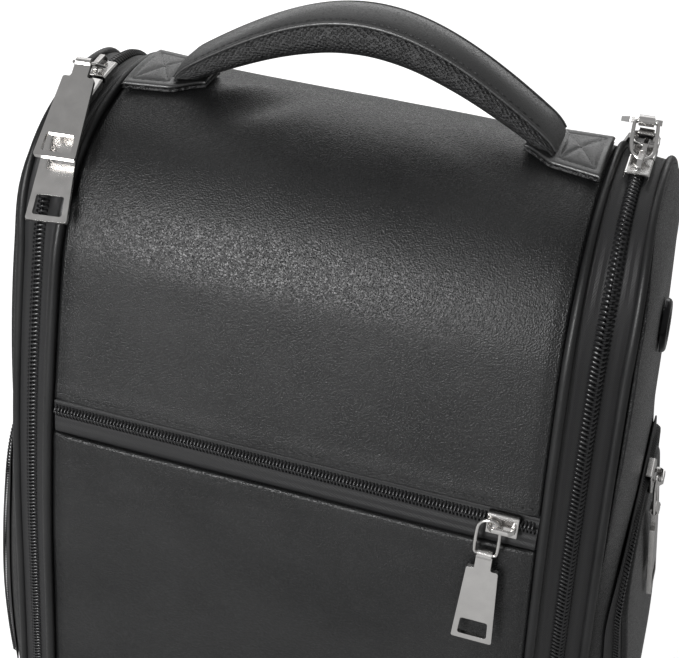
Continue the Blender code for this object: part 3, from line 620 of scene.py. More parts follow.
@dataclass(frozen=True)
class PolishedMetal(Finish):
    """Plated metal with faint scratches and handling marks."""

    dark: Colour = (0.58, 0.57, 0.56)
    light: Colour = (0.74, 0.725, 0.71)
    roughness: float = 0.19
    metallic: float = 1.0
    smear: float = 0.006
    scratch: float = 0.00035
    depth: float = 0.000006

    def inputs(self, recipe: Recipe) -> dict:
        """Return the main shader's inputs by name."""
        where = recipe.where(Coordinates.OBJECT)
        smears = recipe.noise(where, self.smear, 3.0)
        stretched = recipe.node("ShaderNodeMapping", {}, {"Vector": where, "Scale": (0.15, 1.0, 1.0)})
        scratches = recipe.noise(stretched, self.scratch, 2.0)
        return {
            "Base Color": recipe.colours(smears, self.dark, self.light),
            "Metallic": self.metallic,
            "Roughness": self.roughness + 0.10 * (smears - 0.5) + 0.08 * (scratches - 0.5),
            "Normal": recipe.bump(scratches, self.depth),
        }


@dataclass(frozen=True)
class AirMesh(Finish):
    """Open knitted spacer mesh with dark holes between bright threads: the holes' darkness is painted shade
    and the threads' bright specks are painted glints.
    """

    # The hole colour is painted shade: near-black where the recess between the threads lies in shadow.
    hole: Colour = (0.0008, 0.0008, 0.0009)
    thread: Colour = (0.050, 0.050, 0.052)
    pitch: float = 0.0021
    depth: float = 0.00045
    roughness: float = 0.48
    coordinates: Coordinates = Coordinates.UV
    knit: float = 0.00045
    glint: float = 0.0013

    def inputs(self, recipe: Recipe) -> dict:
        """Return the main shader's inputs by name."""
        where = recipe.where(self.coordinates)
        leant = recipe.node("ShaderNodeMapping", {}, {"Vector": where, "Rotation": (0.0, 0.0, 0.6)})
        holes = recipe.cells(leant, self.pitch, 0.38)
        net = recipe.step(holes, 0.22, 0.52)
        knit = recipe.noise(where, self.knit, 2.0)
        glint = recipe.noise(where, self.glint, 1.0)
        # Painted glints: the threads' colour is lit up where the knit noise is high, as sparse highlight
        # specks.
        painted_glints = recipe.step(knit, 0.45, 0.72)
        return {
            "Base Color": recipe.colours(net * (0.10 + 0.9 * painted_glints), self.hole, self.thread),
            "Roughness": self.roughness + 0.35 * (0.5 - glint),
            "Normal": recipe.bump(0.8 * net + 0.6 * knit, self.depth),
        }


@dataclass(frozen=True)
class PlainCloth(Finish):
    """Plain woven lining cloth."""

    dark: Colour = (0.020, 0.020, 0.022)
    light: Colour = (0.048, 0.048, 0.052)
    yarn: float = 0.0007
    depth: float = 0.00010
    roughness: float = 0.82
    slub: float = 0.006

    def inputs(self, recipe: Recipe) -> dict:
        """Return the main shader's inputs by name."""
        where = recipe.where(Coordinates.UV)
        turn = 2 * math.pi / self.yarn
        warp = (recipe.axis(where, "X") * turn).sine()
        weft = (recipe.axis(where, "Y") * turn).sine()
        weave = 0.5 + 0.5 * warp * weft
        slub = recipe.noise(where, self.slub, 3.0)
        return {
            "Base Color": recipe.colours(0.5 * weave + 0.5 * slub, self.dark, self.light),
            "Roughness": self.roughness + 0.15 * (slub - 0.5),
            "Normal": recipe.bump(weave + 0.4 * slub, self.depth),
        }


@dataclass(frozen=True)
class Thread(Finish):
    """Twisted sewing thread."""

    dark: Colour = (0.006, 0.006, 0.0065)
    light: Colour = (0.026, 0.026, 0.027)
    twist: float = 0.0005
    roughness: float = 0.45
    fuzz: float = 0.0016
    depth: float = 0.00006

    def inputs(self, recipe: Recipe) -> dict:
        """Return the main shader's inputs by name."""
        where = recipe.where(Coordinates.OBJECT)
        total = recipe.axis(where, "X") + recipe.axis(where, "Y") + recipe.axis(where, "Z")
        plies = 0.5 + 0.5 * (total * (2 * math.pi / self.twist)).sine()
        fuzz = recipe.noise(where, self.fuzz, 2.0)
        return {
            "Base Color": recipe.colours(0.6 * plies + 0.4 * fuzz, self.dark, self.light),
            "Roughness": self.roughness + 0.2 * (fuzz - 0.5),
            "Normal": recipe.bump(plies, self.depth),
        }


@dataclass(frozen=True)
class FibreBoard(Finish):
    """Pressed fibre board of the stiffener."""

    dark: Colour = (0.030, 0.030, 0.031)
    light: Colour = (0.085, 0.084, 0.082)
    roughness: float = 0.80
    fibre: float = 0.0008
    patch: float = 0.02
    depth: float = 0.00008

    def inputs(self, recipe: Recipe) -> dict:
        """Return the main shader's inputs by name."""
        where = recipe.where(Coordinates.OBJECT)
        stretched = recipe.node("ShaderNodeMapping", {}, {"Vector": where, "Scale": (0.2, 1.0, 1.0)})
        fibres = recipe.noise(stretched, self.fibre, 3.0)
        patches = recipe.noise(where, self.patch, 2.0)
        return {
            "Base Color": recipe.colours(0.6 * fibres + 0.4 * patches, self.dark, self.light),
            "Roughness": self.roughness + 0.2 * (fibres - 0.5),
            "Normal": recipe.bump(fibres, self.depth),
        }


class Finishes:
    """Every material of the bag, built once."""

    def __init__(self) -> None:
        """Build the materials."""
        self.leather = Leather("bag_leather").build()
        self.smooth = Leather(
            "handle_leather", grain_depth=0.00005, roughness=0.38, fleck_weight=0.0, specular=1.0
        ).build()
        self.cord = Leather("cord_leather", grain_depth=0.00005, roughness=0.38, fleck_weight=0.0).build()
        self.tape = TwillTape("zip_tape").build()
        self.coil = Nylon("zip_coil").build()
        self.nickel = PolishedMetal("polished_nickel").build()
        self.black_metal = PolishedMetal(
            "black_plating", dark=(0.012, 0.012, 0.013), light=(0.03, 0.03, 0.031), roughness=0.2
        ).build()
        self.mesh = AirMesh("handle_mesh").build()
        self.screen = AirMesh("vent_screen", pitch=0.0014, coordinates=Coordinates.OBJECT).build()
        self.cloth = PlainCloth("lining_cloth").build()
        self.thread = Thread("sewing_thread").build()
        self.board = FibreBoard("fibre_board").build()


# Making pieces


def weld(bm: bmesh.types.BMesh, reach: float = 1e-6) -> None:
    """Join corners that lie together."""
    bmesh.ops.remove_doubles(bm, verts=bm.verts, dist=reach)


def lay_pattern(bm: bmesh.types.BMesh) -> None:
    """Lay the pattern straight over an upright sheet, by depth and height."""
    pattern = bm.loops.layers.uv.active
    for face in bm.faces:
        for loop in face.loops:
            loop[pattern].uv = loop.vert.co.yz


def placed(axes: Sequence[Vector], spot: Vector) -> Matrix:
    """Return the matrix that stands a shape at a spot along three axes."""
    turned = Matrix(axes).transposed().to_4x4()
    turned.translation = spot
    return turned


class Workshop:
    """Makes meshes and turns them into finished pieces."""

    def __init__(self, finishes: Finishes) -> None:
        """Start with the finishes that pieces are dressed in."""
        self.finishes = finishes
        self.made: list[bpy.types.Object] = []

    def mapped(
        self, rows: int, columns: int, place: Place, size: tuple[float, float], flip: bool = False
    ) -> bmesh.types.BMesh:
        """Lay a grid over a surface.

        Args:
            rows: Faces along the first direction.
            columns: Faces along the second direction.
            place: Gives the point for two shares from 0 to 1.
            size: The cloth's own length each way, for its pattern.
            flip: Turns the faces over.

        Returns:
            The grid with its pattern coordinates in metres.
        """
        bm = bmesh.new()
        pattern = bm.loops.layers.uv.new("Pattern")
        bmesh.ops.create_grid(bm, x_segments=rows, y_segments=columns, size=0.5)
        for face in bm.faces:
            for loop in face.loops:
                spot = loop.vert.co
                loop[pattern].uv = ((spot.x + 0.5) * size[0], (spot.y + 0.5) * size[1])
        for vert in bm.verts:
            vert.co = place(vert.co.x + 0.5, vert.co.y + 0.5)
        if flip:
            bmesh.ops.reverse_faces(bm, faces=bm.faces)
        return bm

    def swept(
        self, rows: int, section: Section, place: Callable[[float, float, float], Vector],
        length: float, closed: bool = False,
    ) -> bmesh.types.BMesh:
        """Carry a closed section along a way.

        Args:
            rows: Faces along the way.
            section: The section's corners in order.
            place: Gives the point for a share of the way and a corner of the section.
            length: The way's length.
            closed: True where the way ends where it starts.

        Returns:
            The closed solid.
        """
        count = len(section)
        girth = 0.0
        for i in range(count):
            girth += math.dist(section[i], section[i - 1])

        def corner(along: float, around: float) -> Vector:
            """Return the point of a corner at a share of the way."""
            return place(along, *section[round(around * count) % count])

        bm = self.mapped(rows, count, corner, (length, girth))
        weld(bm)
        if not closed:
            bmesh.ops.holes_fill(bm, edges=bm.edges, sides=count)
        bmesh.ops.recalc_face_normals(bm, faces=bm.faces)
        return bm

    def stamped(self, template: bpy.types.Mesh, places: Sequence[Matrix]) -> bmesh.types.BMesh:
        """Repeat a small shape at many places."""
        bm = bmesh.new()
        for place in places:
            start = len(bm.verts)
            bm.from_mesh(template)
            bm.verts.ensure_lookup_table()
            bmesh.ops.transform(bm, matrix=place, verts=bm.verts[start:])
        bmesh.ops.recalc_face_normals(bm, faces=bm.faces)
        return bm

    def template(self, bm: bmesh.types.BMesh, name: str) -> bpy.types.Mesh:
        """Keep a small shape as a mesh for stamping."""
        mesh = bpy.data.meshes.new(name)
        bm.to_mesh(mesh)
        bm.free()
        return mesh

    def piece(
        self, bm: bmesh.types.BMesh, name: str, finish: bpy.types.Material, body: str, slot: Slot,
        stands_for: Sequence[str] = (), sharp: float = 60.0,
    ) -> bpy.types.Object:
        """Turn a bmesh into a piece of the bag.

        Args:
            bm: The mesh under way, which is used up.
            name: The piece's name.
            finish: Its material.
            body: The body that carries it.
            slot: The record's slot that its finish comes from; not used.
            stands_for: The solids that it replaces.
            sharp: Edges sharper than this many degrees stay sharp.

        Returns:
            The new object.
        """
        mesh = bpy.data.meshes.new(name)
        bm.to_mesh(mesh)
        bm.free()
        mesh.shade_smooth()
        mesh.set_sharp_from_angle(angle=math.radians(sharp))
        mesh.materials.append(finish)
        item = bpy.data.objects.new(name, mesh)
        bpy.context.scene.collection.objects.link(item)
        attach(item, body)
        if stands_for:
            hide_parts(*stands_for)
        self.made.append(item)
        return item

    def thicken(
        self, item: bpy.types.Object, thickness: float, inner: bpy.types.Material | None = None
    ) -> None:
        """Give a sheet its thickness inwards, with another finish inside if one is given."""
        modifier = item.modifiers.new("thickness", "SOLIDIFY")
        modifier.thickness = thickness
        modifier.offset = -1.0
        if inner is not None:
            item.data.materials.append(inner)
            modifier.material_offset = 1

    def stitches(
        self, name: str, spots: Sequence[tuple[Vector, Vector, Vector]], body: str, slot: Slot,
        length: float = 0.0027, radius: float = 0.00042,
    ) -> bpy.types.Object:
        """Sew a row of stitches.

        Args:
            name: The row's name.
            spots: Each stitch's middle, its way, and the way out of the cloth.
            body: The body that carries it.
            slot: The record's slot of its finish.
            length: One stitch's length.
            radius: Half the thread's thickness.

        Returns:
            The new object.
        """
        bm = bmesh.new()
        bmesh.ops.create_uvsphere(bm, u_segments=6, v_segments=4, radius=1.0)
        bmesh.ops.scale(bm, vec=(radius, radius * 0.8, length / 2), verts=bm.verts)
        template = self.template(bm, name + "_stitch")
        places = []
        for middle, way, out in spots:
            heading = way.normalized()
            beside = heading.cross(out).normalized()
            places.append(placed((beside, heading.cross(beside), heading), middle))
        return self.piece(self.stamped(template, places), name, self.finishes.thread, body, slot)


def to_segment(point: Vector, first: Vector, last: Vector) -> float:
    """Return the distance from a point to a straight stretch."""
    way = last - first
    share = max(0.0, min(1.0, (point - first).dot(way) / way.length_squared))
    return (point - first - share * way).length


def rounded_strip(
    low: float, high: float, bottom: float, top: float, steps: int = 6
) -> list[tuple[float, float]]:
    """Return the section of a flat strip with rounded edges.

    Args:
        low: One edge across.
        high: The other edge across.
        bottom: The lower face's rise.
        top: The upper face's rise.
        steps: Faces across the upper side.

    Returns:
        The section's corners in order.
    """
    soft = (top - bottom) / 2
    upper = [(low + soft + (high - low - 2 * soft) * i / steps, top) for i in range(steps + 1)]
    lower = [(high - soft, bottom), (low + soft, bottom)]
    return upper + [(high, top - soft)] + lower + [(low, top - soft)]


def ring(across: float, rise: float, radius: float, sides: int) -> list[tuple[float, float]]:
    """Return a round section."""
    turns = [2 * math.pi * i / sides for i in range(sides)]
    return [(across + radius * math.cos(turn), rise + radius * math.sin(turn)) for turn in turns]


# Band of leather panels


@dataclass
class Band:
    """The leather band up the front, over the top and down the back."""

    shape: BagShape
    shop: Workshop
    thickness: float = 0.0020
    edge: float = 0.00239
    crown: float = 0.0008
    zip_height: float = 0.2365
    tape_above: float = 0.0050
    tape_below: float = 0.0112
    back_seam: float = 0.242
    hem: float = 0.0082
    hem_rise: float = 0.0004
    stitch_line: float = 0.0040
    stitch_pitch: float = 0.0038
    stitch_margin: float = 0.003
    stitch_lift: float = 0.00005
    edge_drop: float = 0.0007
    edge_roll: float = 0.006
    wave: float = 0.00045
    wave_size: float = 0.060
    wrinkle: float = 0.00012
    wrinkle_size: float = 0.017
    hem_fade: tuple[float, float] = (0.0035, 0.0045)
    hem_round: tuple[float, float] = (-0.0006, 0.0011)
    hem_dip: float = 0.0016
    hem_dip_width: float = 0.0010
    hem_zone: float = 0.013
    hem_rows_share: float = 0.16
    pinch: tuple[float, float] = (-0.0527, 0.007)
    pinch_turn: tuple[float, float] = (0.72, 0.69)
    pinch_ridge: tuple[float, float, float] = (0.0013, 0.015, 0.0060)
    pinch_valley: tuple[float, float, float] = (0.0019, 0.020, 0.0075)
    pinch_gap: float = 0.0150
    pinch_right: float = 0.25

    @cached_property
    def zip_line(self) -> float:
        """Distance of the front zip's middle round the outline."""
        return self.shape.up_front(self.zip_height)

    def skin(self, across: float, distance: float, lift: float) -> Vector:
        """Return a point over the band's skin."""
        depth, height = self.shape.inside(distance, -lift)
        return Vector((across, depth, height))

    def lift(self, across: float, distance: float, half: float, from_hem: float | None) -> float:
        """Return how far the leather stands over the plain outline.

        Args:
            across: The place from side to side.
            distance: The place round the outline.
            half: Half the panel's width there.
            from_hem: The way from the folded edge, if the panel has one.

        Returns:
            The rise in metres.
        """
        flat = Vector((across, distance, 0.0))
        to_edge = half - abs(across)
        rise = self.crown * (1 - (across / half) ** 4)
        rise -= self.edge_drop * (1 - ramp(to_edge, 0.0, self.edge_roll))
        waves = self.wave * ripple(flat, self.wave_size, 3.1)
        rise += waves + self.wrinkle * ripple(flat, self.wrinkle_size, 7.7)
        if from_hem is not None:
            fold = 1 - ramp(from_hem, self.hem - self.hem_fade[0], self.hem + self.hem_fade[1])
            rise += self.hem_rise * fold * math.sqrt(ramp(from_hem, *self.hem_round))
            rise -= self.hem_dip * (1 - ramp(from_hem, 0.0, self.hem_dip_width))
        return rise

    def pinched(self, across: float, distance: float) -> float:
        """Return how far the leather is drawn up and in beside the handle's ends, most on the left."""
        y = distance - self.shape.length / 2 - self.pinch[1]
        cosine, sine = self.pinch_turn
        total = 0.0
        for way, strength in ((1, 1.0), (-1, self.pinch_right)):
            x = way * across - self.pinch[0]
            along = cosine * x + sine * y
            aside = cosine * y - sine * x
            raised = mound(self.pinch_ridge, along, aside)
            sunk = mound(self.pinch_valley, along, aside + self.pinch_gap)
            total += strength * (raised - sunk)
        return total

    def panel(self, name: str, start: float, end: float, hemmed: bool, pinched: bool = False) -> None:
        """Make one panel.

        Args:
            name: The solid that it stands for.
            start: Where it starts round the outline, at its folded edge if it has one.
            end: Where it ends.
            hemmed: True where its start is folded over.
            pinched: True where the handle draws it in.
        """
        span = end - start
        hem_zone = self.hem_zone if hemmed else 0.0
        hem_share = self.hem_rows_share if hemmed else 0.0
        even, crowded = 1.35, 1.3

        def place(along: float, aside: float) -> Vector:
            """Return the leather's point for two shares."""
            if along < hem_share:
                walked = hem_zone * along / hem_share
            else:
                walked = hem_zone + (abs(span) - hem_zone) * (along - hem_share) / (1 - hem_share)
            distance = start + math.copysign(walked, span)
            half = self.shape.half_width(self.shape.at(distance)[1]) - self.edge
            spread = even * (0.5 - aside) + crowded * (0.5 - aside) * (0.5 - abs(0.5 - aside))
            across = half * max(-1.0, min(1.0, 2 * spread / even))
            rise = self.lift(across, distance, half, walked if hemmed else None)
            if pinched:
                rise += self.pinched(across, distance)
            return self.skin(across, distance, rise)

        rows = max(24, round(abs(span) / 0.0030)) + (30 if hemmed else 0)
        bm = self.shop.mapped(rows, 90, place, (abs(span), 0.21), flip=span < 0)
        item = self.shop.piece(bm, name + "_skin", self.shop.finishes.leather, ROOT, Slot.LEATHER, (name,))
        self.shop.thicken(item, self.thickness)

    def topstitch(self) -> None:
        """Sew the row of stitches along the folded edge over the front zip."""
        distance = self.zip_line + self.tape_above + self.stitch_line
        half = self.shape.half_width(self.shape.at(distance)[1]) - self.edge
        heading = self.shape.at(distance)[2]
        out = Vector((0.0, -math.sin(heading), math.cos(heading)))
        spots = []
        for i in range(int(2 * (half - self.stitch_margin) / self.stitch_pitch) + 1):
            across = self.stitch_margin - half + i * self.stitch_pitch
            rise = self.lift(across, distance, half, self.stitch_line)
            spot = self.skin(across, distance, rise + self.stitch_lift)
            spots.append((spot, Vector((1, 0, 0.04)), out))
        self.shop.stitches("front_topstitch", spots, ROOT, Slot.LEATHER)

    def build(self) -> None:
        """Make the four panels and the topstitching."""
        shape = self.shape
        seam = shape.clearance / 2
        back_seam = shape.length - shape.up_front(self.back_seam)
        self.panel("front_panel", self.zip_line + self.tape_above, back_seam - seam, True, True)
        self.panel("front_pocket_panel", self.zip_line - self.tape_below, shape.base_end + seam, True)
        self.panel("back_panel", back_seam + seam, shape.length - shape.base_end - shape.clearance, False)
        self.panel("base_panel", -shape.base_end, shape.base_end - seam, False)
        self.topstitch()


# Lining and inside


@dataclass
class Inside:
    """The lining sleeve, the divider and the stiffener board."""

    shape: BagShape
    shop: Workshop
    lining_inset: float = 0.0023
    lining: float = 0.0027
    edge: float = 0.0009
    board_top: float = 0.0073
    divider: float = 0.0020
    wave: float = 0.0009
    wave_size: float = 0.07

    def build(self) -> None:
        """Make the lining and the divider, and finish the board."""
        shape = self.shape

        def sleeve(along: float, aside: float) -> Vector:
            """Return the lining's outer point for two shares."""
            distance = along * shape.length
            depth, height = shape.inside(distance, self.lining_inset)
            half = shape.half_width(height) + self.edge
            return Vector((half * (1 - 2 * aside), depth, height))

        bm = self.shop.mapped(200, 24, sleeve, (shape.length, 0.22))
        weld(bm)
        cloth = self.shop.finishes.cloth
        item = self.shop.piece(bm, "lining_cloth_sleeve", cloth, ROOT, Slot.LINING, ("lining_sleeve",))
        self.shop.thicken(item, self.lining)

        inset = self.lining_inset + self.lining + shape.clearance
        floor = self.board_top + 2 * shape.clearance
        first = shape.up_front(floor)
        steps = 120
        outline = []
        for i in range(steps + 1):
            distance = first + (shape.length - 2 * first) * i / steps
            depth, height = shape.inside(distance, inset)
            outline.append((depth, max(height, floor)))
        outline.append(outline[0])
        rim = Route(outline)

        def wall(around: float, share: float) -> Vector:
            """Return a point of the divider for two shares."""
            depth, height = rim.at(around)
            reach = 1 - (1 - share) ** 1.5
            depth *= reach
            height = shape.door_centre + (height - shape.door_centre) * reach
            bulge = self.wave * ripple(Vector((0.0, depth, height)), self.wave_size, 5.2) * (1 - reach ** 4)
            return Vector((self.divider / 2 + bulge, depth, height))

        bm = self.shop.mapped(120, 26, wall, (rim.length, 0.12))
        lay_pattern(bm)
        weld(bm)
        item = self.shop.piece(bm, "divider_cloth", cloth, ROOT, Slot.LINING, ("centre_divider",))
        self.shop.thicken(item, self.divider)
        board = frame["nodes"]["base_board"]
        board.data.materials.clear()
        board.data.materials.append(self.shop.finishes.board)


# Zips


@dataclass(frozen=True)
class CoilSizes:
    """One half of a zip's coil."""

    pitch: float
    half_width: float
    height: float
    wire: float

    def tooth(self, shop: Workshop) -> bpy.types.Mesh:
        """Return one turn of the coil, lying across its own Y from the middle outwards."""
        inner, outer = -0.10 * self.half_width, self.half_width - 0.5 * self.wire
        crest = self.height - self.wire

        def place(along: float, across: float, rise: float) -> Vector:
            """Return a point of the bent wire."""
            y = inner + (outer - inner) * along
            crown = math.sin(math.pi * min(1.0, 0.22 + 1.05 * along))
            arch = 0.62 + 0.38 * crown - 0.55 * ramp(along, 0.62, 1.0)
            x = 0.42 * self.pitch * (along - 0.4)
            return Vector((x + across, y, crest * arch + rise))

        bm = shop.swept(5, ring(0.0, 0.0, self.wire, 6), place, outer)
        return shop.template(bm, "coil_turn")


@dataclass
class DoorZip:
    """The zip gusset between the band and one door, with its pipings."""

    shape: BagShape
    shop: Workshop
    side: Side
    tape: float = 0.0009
    gap: float = 0.0003
    strip: float = 0.0012
    rows: int = 240
    cord_rise: float = 0.0002
    sewn_share: float = 0.5
    chain_margin: float = 0.002
    near: float = 0.001
    coil: CoilSizes = CoilSizes(0.0020, 0.0036, 0.0024, 0.00056)

    def swept(self, section: Section, start: float, end: float, closed: bool = False) -> bmesh.types.BMesh:
        """Carry a section round the gusset from one distance to another."""
        def place(along: float, across: float, rise: float) -> Vector:
            """Return a point of the section at a share of the way."""
            return self.shape.gusset_point(self.side, start + (end - start) * along, across, rise)

        return self.shop.swept(self.rows, section, place, end - start, closed)

    def chain(self, name: str, outer: bool, body: str) -> None:
        """Lay one half of the coil.

        Args:
            name: The new piece's name.
            outer: True for the half on the door.
            body: The body that carries it.
        """
        shape = self.shape
        tooth = self.coil.tooth(self.shop)
        start = shape.base_end + self.chain_margin
        end = shape.length - start
        count = int((end - start) / self.coil.pitch)
        middle = shape.gusset_width / 2
        way = 1 if outer else -1
        places = []
        for i in range(count):
            distance = start + (i + (0.5 if outer else 0.0)) * self.coil.pitch
            spot = shape.gusset_point(self.side, distance, middle, 0.0)
            ahead = shape.gusset_point(self.side, distance + self.near / 2, middle, 0.0)
            beside = shape.gusset_point(self.side, distance, middle + way * self.near, 0.0)
            over = shape.gusset_point(self.side, distance, middle, self.near)
            scale = 1 / self.near
            axes = ((ahead - spot).normalized(), (beside - spot) * scale, (over - spot) * scale)
            places.append(placed(axes, spot))
        self.shop.piece(self.shop.stamped(tooth, places), name, self.shop.finishes.coil, body, Slot.TAPE)

    def sewn(
        self, bm: bmesh.types.BMesh, name: str, finish: bpy.types.Material, body: str, slot: Slot, solid: str
    ) -> None:
        """Turn a mesh into a piece of this side that stands for one of its solids."""
        word = self.side.word
        self.shop.piece(bm, f"{word}_{name}", finish, body, slot, (f"{word}_{solid}",))

    def build(self) -> None:
        """Make the pipings, tapes, coils and the plain strip under the door."""
        shape, word, door = self.shape, self.side.word, self.side.door
        finishes = self.shop.finishes
        start = shape.base_end + shape.clearance
        end = shape.length - start
        middle = shape.gusset_width / 2
        inner_sewn = self.sewn_share * shape.inner_piping
        outer_sewn = shape.gusset_width - self.sewn_share * shape.outer_piping
        radius = shape.outer_piping + shape.clearance

        cord = self.swept(ring(0.0, self.cord_rise, shape.inner_piping, 12), start, end)
        self.sewn(cord, "inner_cord", finishes.cord, ROOT, Slot.PIPING, "inner_piping")
        tape = self.swept(rounded_strip(inner_sewn, middle - self.gap / 2, -self.tape, 0.0), start, end)
        self.sewn(tape, "inner_tape", finishes.tape, ROOT, Slot.TAPE, "inner_stringer")
        self.chain(word + "_inner_coil", False, ROOT)
        tape = self.swept(rounded_strip(middle + self.gap / 2, outer_sewn, -self.tape, 0.0), start, end)
        self.sewn(tape, "outer_tape", finishes.tape, door, Slot.TAPE, "outer_stringer")
        self.chain(word + "_outer_coil", True, door)
        cord = self.swept(ring(shape.gusset_width, 0.0, radius, 16), 0.0, shape.length, True)
        self.sewn(cord, "outer_cord", finishes.cord, door, Slot.PIPING, "outer_piping")
        section = rounded_strip(inner_sewn, shape.gusset_width - radius - shape.clearance, -self.strip, 0.0)
        strip = self.swept(section, -shape.base_end, shape.base_end)
        self.sewn(strip, "bottom_strip", finishes.leather, ROOT, Slot.LEATHER, "hinge_gusset")


@dataclass
class FrontZip:
    """The zip across the front pocket."""

    band: Band
    sink: float = 0.0006
    tape: float = 0.0009
    gap: float = 0.0003
    coil: CoilSizes = CoilSizes(0.00145, 0.0030, 0.0022, 0.00044)

    def build(self) -> None:
        """Make both tapes and both halves of the coil."""
        band, shop = self.band, self.band.shop
        shape = band.shape
        half = shape.half_width(band.zip_height) - band.edge
        for word, way, width in (("upper", 1, band.tape_above), ("lower", -1, band.tape_below)):
            section = rounded_strip(self.gap / 2, width - shape.clearance, -self.tape, 0.0)

            def place(along: float, aside: float, rise: float) -> Vector:
                """Return a point of the tape at a share of its length."""
                return band.skin(half * (2 * along - 1), band.zip_line + way * aside, rise - self.sink)

            name = "front_zip_" + word
            tape = shop.swept(60, section, place, 2 * half)
            shop.piece(tape, name + "_tape", shop.finishes.tape, ROOT, Slot.TAPE, (name + "_stringer",))
            heading = shape.at(band.zip_line)[2]
            over = Vector((0.0, -math.sin(heading), math.cos(heading)))
            up = Vector((0.0, math.cos(heading), math.sin(heading)))
            tooth = self.coil.tooth(shop)
            places = []
            for i in range(int(2 * half / self.coil.pitch) - 1):
                across = -half + (i + 0.5 + (0.5 if way < 0 else 0.0)) * self.coil.pitch
                spot = band.skin(across, band.zip_line, -self.sink)
                places.append(placed((Vector((1, 0, 0)), way * up, over), spot))
            coil = shop.stamped(tooth, places)
            shop.piece(coil, name + "_coil", shop.finishes.coil, ROOT, Slot.TAPE)


# Side doors


@dataclass
class Door:
    """One domed side door with its pocket, pocket zip and vent."""

    shape: BagShape
    shop: Workshop
    side: Side
    thickness: float = 0.0030
    skin_gap: float = 0.0007
    pocket_gap: float = 0.0009
    pocket_skin: float = 0.0016
    zip_height: float = 0.210
    zip_foot: float = 0.052
    zip_margin: float = 0.0096
    zip_corner: float = 0.038
    tape_width: float = 0.0062
    tape: float = 0.0008
    vent_height: float = 0.288
    vent_radius: float = 0.0110
    vent_bore: float = 0.0058
    vent_wall: float = 0.0009
    vent_rim: float = 0.0024
    sewn_share: float = 0.6
    wave: float = 0.0005
    wave_size: float = 0.055
    pocket_wave: float = 0.0007
    pocket_wave_size: float = 0.050
    roll_rise: float = 0.0009
    roll_place: float = 0.962
    roll_width: float = 0.030
    roll_drop: float = 0.0012
    roll_end: float = 0.985
    hole_share: float = 0.72
    screen: float = 0.0005
    coil: CoilSizes = CoilSizes(0.0016, 0.0028, 0.0020, 0.00046)

    def arch(self, shift: float) -> Route:
        """Return the line of the pocket's zip, moved outwards by a shift."""
        reach = self.shape.door_half_depth - self.zip_margin + shift
        top = self.zip_height + shift
        radius = self.zip_corner + shift
        steps = 24
        front = [(-reach, self.zip_foot), (-reach, top - radius)]
        for i in range(1, steps + 1):
            turn = math.pi / 2 * i / steps
            front.append((radius - reach - radius * math.cos(turn), top - radius + radius * math.sin(turn)))
        back = [(-depth, height) for depth, height in front[::-1]]
        return Route(front + back)

    def domed(
        self, rim: Callable[[float], Vector], around: int, rings: int, lift: Callable[[Vector, float], float]
    ) -> bmesh.types.BMesh:
        """Lay a closed disc over the door's skin.

        Args:
            rim: Gives the depth and height of the edge at a share of the way round.
            around: Faces round the disc.
            rings: Faces from the middle to the edge.
            lift: Gives the rise over the skin for a point and its share of the way out.

        Returns:
            The disc with its faces pointing out.
        """
        centre = Vector((0.0, self.shape.door_centre))

        def place(turn: float, out: float) -> Vector:
            """Return a point of the disc for two shares."""
            share = 1 - (1 - out) ** 1.9
            spot = centre.lerp(Vector(rim(turn)), share)
            return self.shape.door_point(self.side, spot.x, spot.y, lift(spot, share))

        bm = self.shop.mapped(around, rings, place, (1.0, 1.0), flip=self.side is Side.LEFT)
        lay_pattern(bm)
        weld(bm)
        return bm

    def skin(self, bm: bmesh.types.BMesh, solid: str) -> bpy.types.Object:
        """Turn a sheet into the leather that stands for one of the door's solids."""
        name = f"{self.side.word}_{solid}"
        leather = self.shop.finishes.leather
        return self.shop.piece(bm, name + "_skin", leather, self.side.door, Slot.LEATHER, (name,))

    def panel(self) -> None:
        """Make the door's leather panel with its lining and the hole for the vent."""
        shape = self.shape

        def rim(turn: float) -> Vector:
            """Return the door's edge at a share of the way round."""
            return shape.door_rim(turn * shape.length, self.sewn_share * shape.outer_piping)

        def lift(spot: Vector, share: float) -> float:
            """Return the leather's own soft waves."""
            wave = self.wave * ripple(Vector((spot.x, spot.y, 1.0)), self.wave_size, 2.3)
            return wave * (1 - share ** 6)

        bm = self.domed(rim, 180, 44, lift)
        vent = Vector((0.0, self.vent_height))
        hole = []
        for face in bm.faces:
            if (face.calc_center_median().yz - vent).length < self.hole_share * self.vent_radius:
                hole.append(face)
        bmesh.ops.delete(bm, geom=hole, context="FACES")
        item = self.skin(bm, "door_panel")
        self.shop.thicken(item, self.thickness, self.shop.finishes.cloth)

    def pocket(self) -> None:
        """Make the pocket's skin inside the zip."""
        arch = self.arch(-self.tape_width - self.shape.clearance)
        outline = Route([*arch.points, arch.points[0]])

        def lift(spot: Vector, share: float) -> float:
            """Return the rise of the pocket's soft skin with its rolled edge."""
            soft = ripple(Vector((spot.x, spot.y, 4.0)), self.pocket_wave_size, 6.1)
            wave = self.pocket_wave * soft * (1 - share ** 6)
            rolled = self.roll_rise * ridge(share, self.roll_place, self.roll_width)
            rolled -= self.roll_drop * ramp(share, self.roll_end, 1.0)
            return self.pocket_gap + self.pocket_skin + wave + rolled

        bm = self.domed(outline.at, 170, 44, lift)
        item = self.skin(bm, "side_pocket_panel")
        self.shop.thicken(item, self.pocket_skin * 0.7)

    def zip(self) -> None:
        """Make the pocket's two tapes and its coil."""
        shop, word = self.shop, self.side.word
        centre_line = self.arch(0.0)
        for half, way in (("outer", 1), ("inner", -1)):
            section = rounded_strip(0.00015, self.tape_width, self.skin_gap, self.skin_gap + self.tape, 3)
            routes = {aside: self.arch(way * aside) for aside, rise in section}

            def place(along: float, aside: float, rise: float) -> Vector:
                """Return a point of the tape at a share of its length."""
                spot = routes[aside].at(along)
                return self.shape.door_point(self.side, spot.x, spot.y, rise)

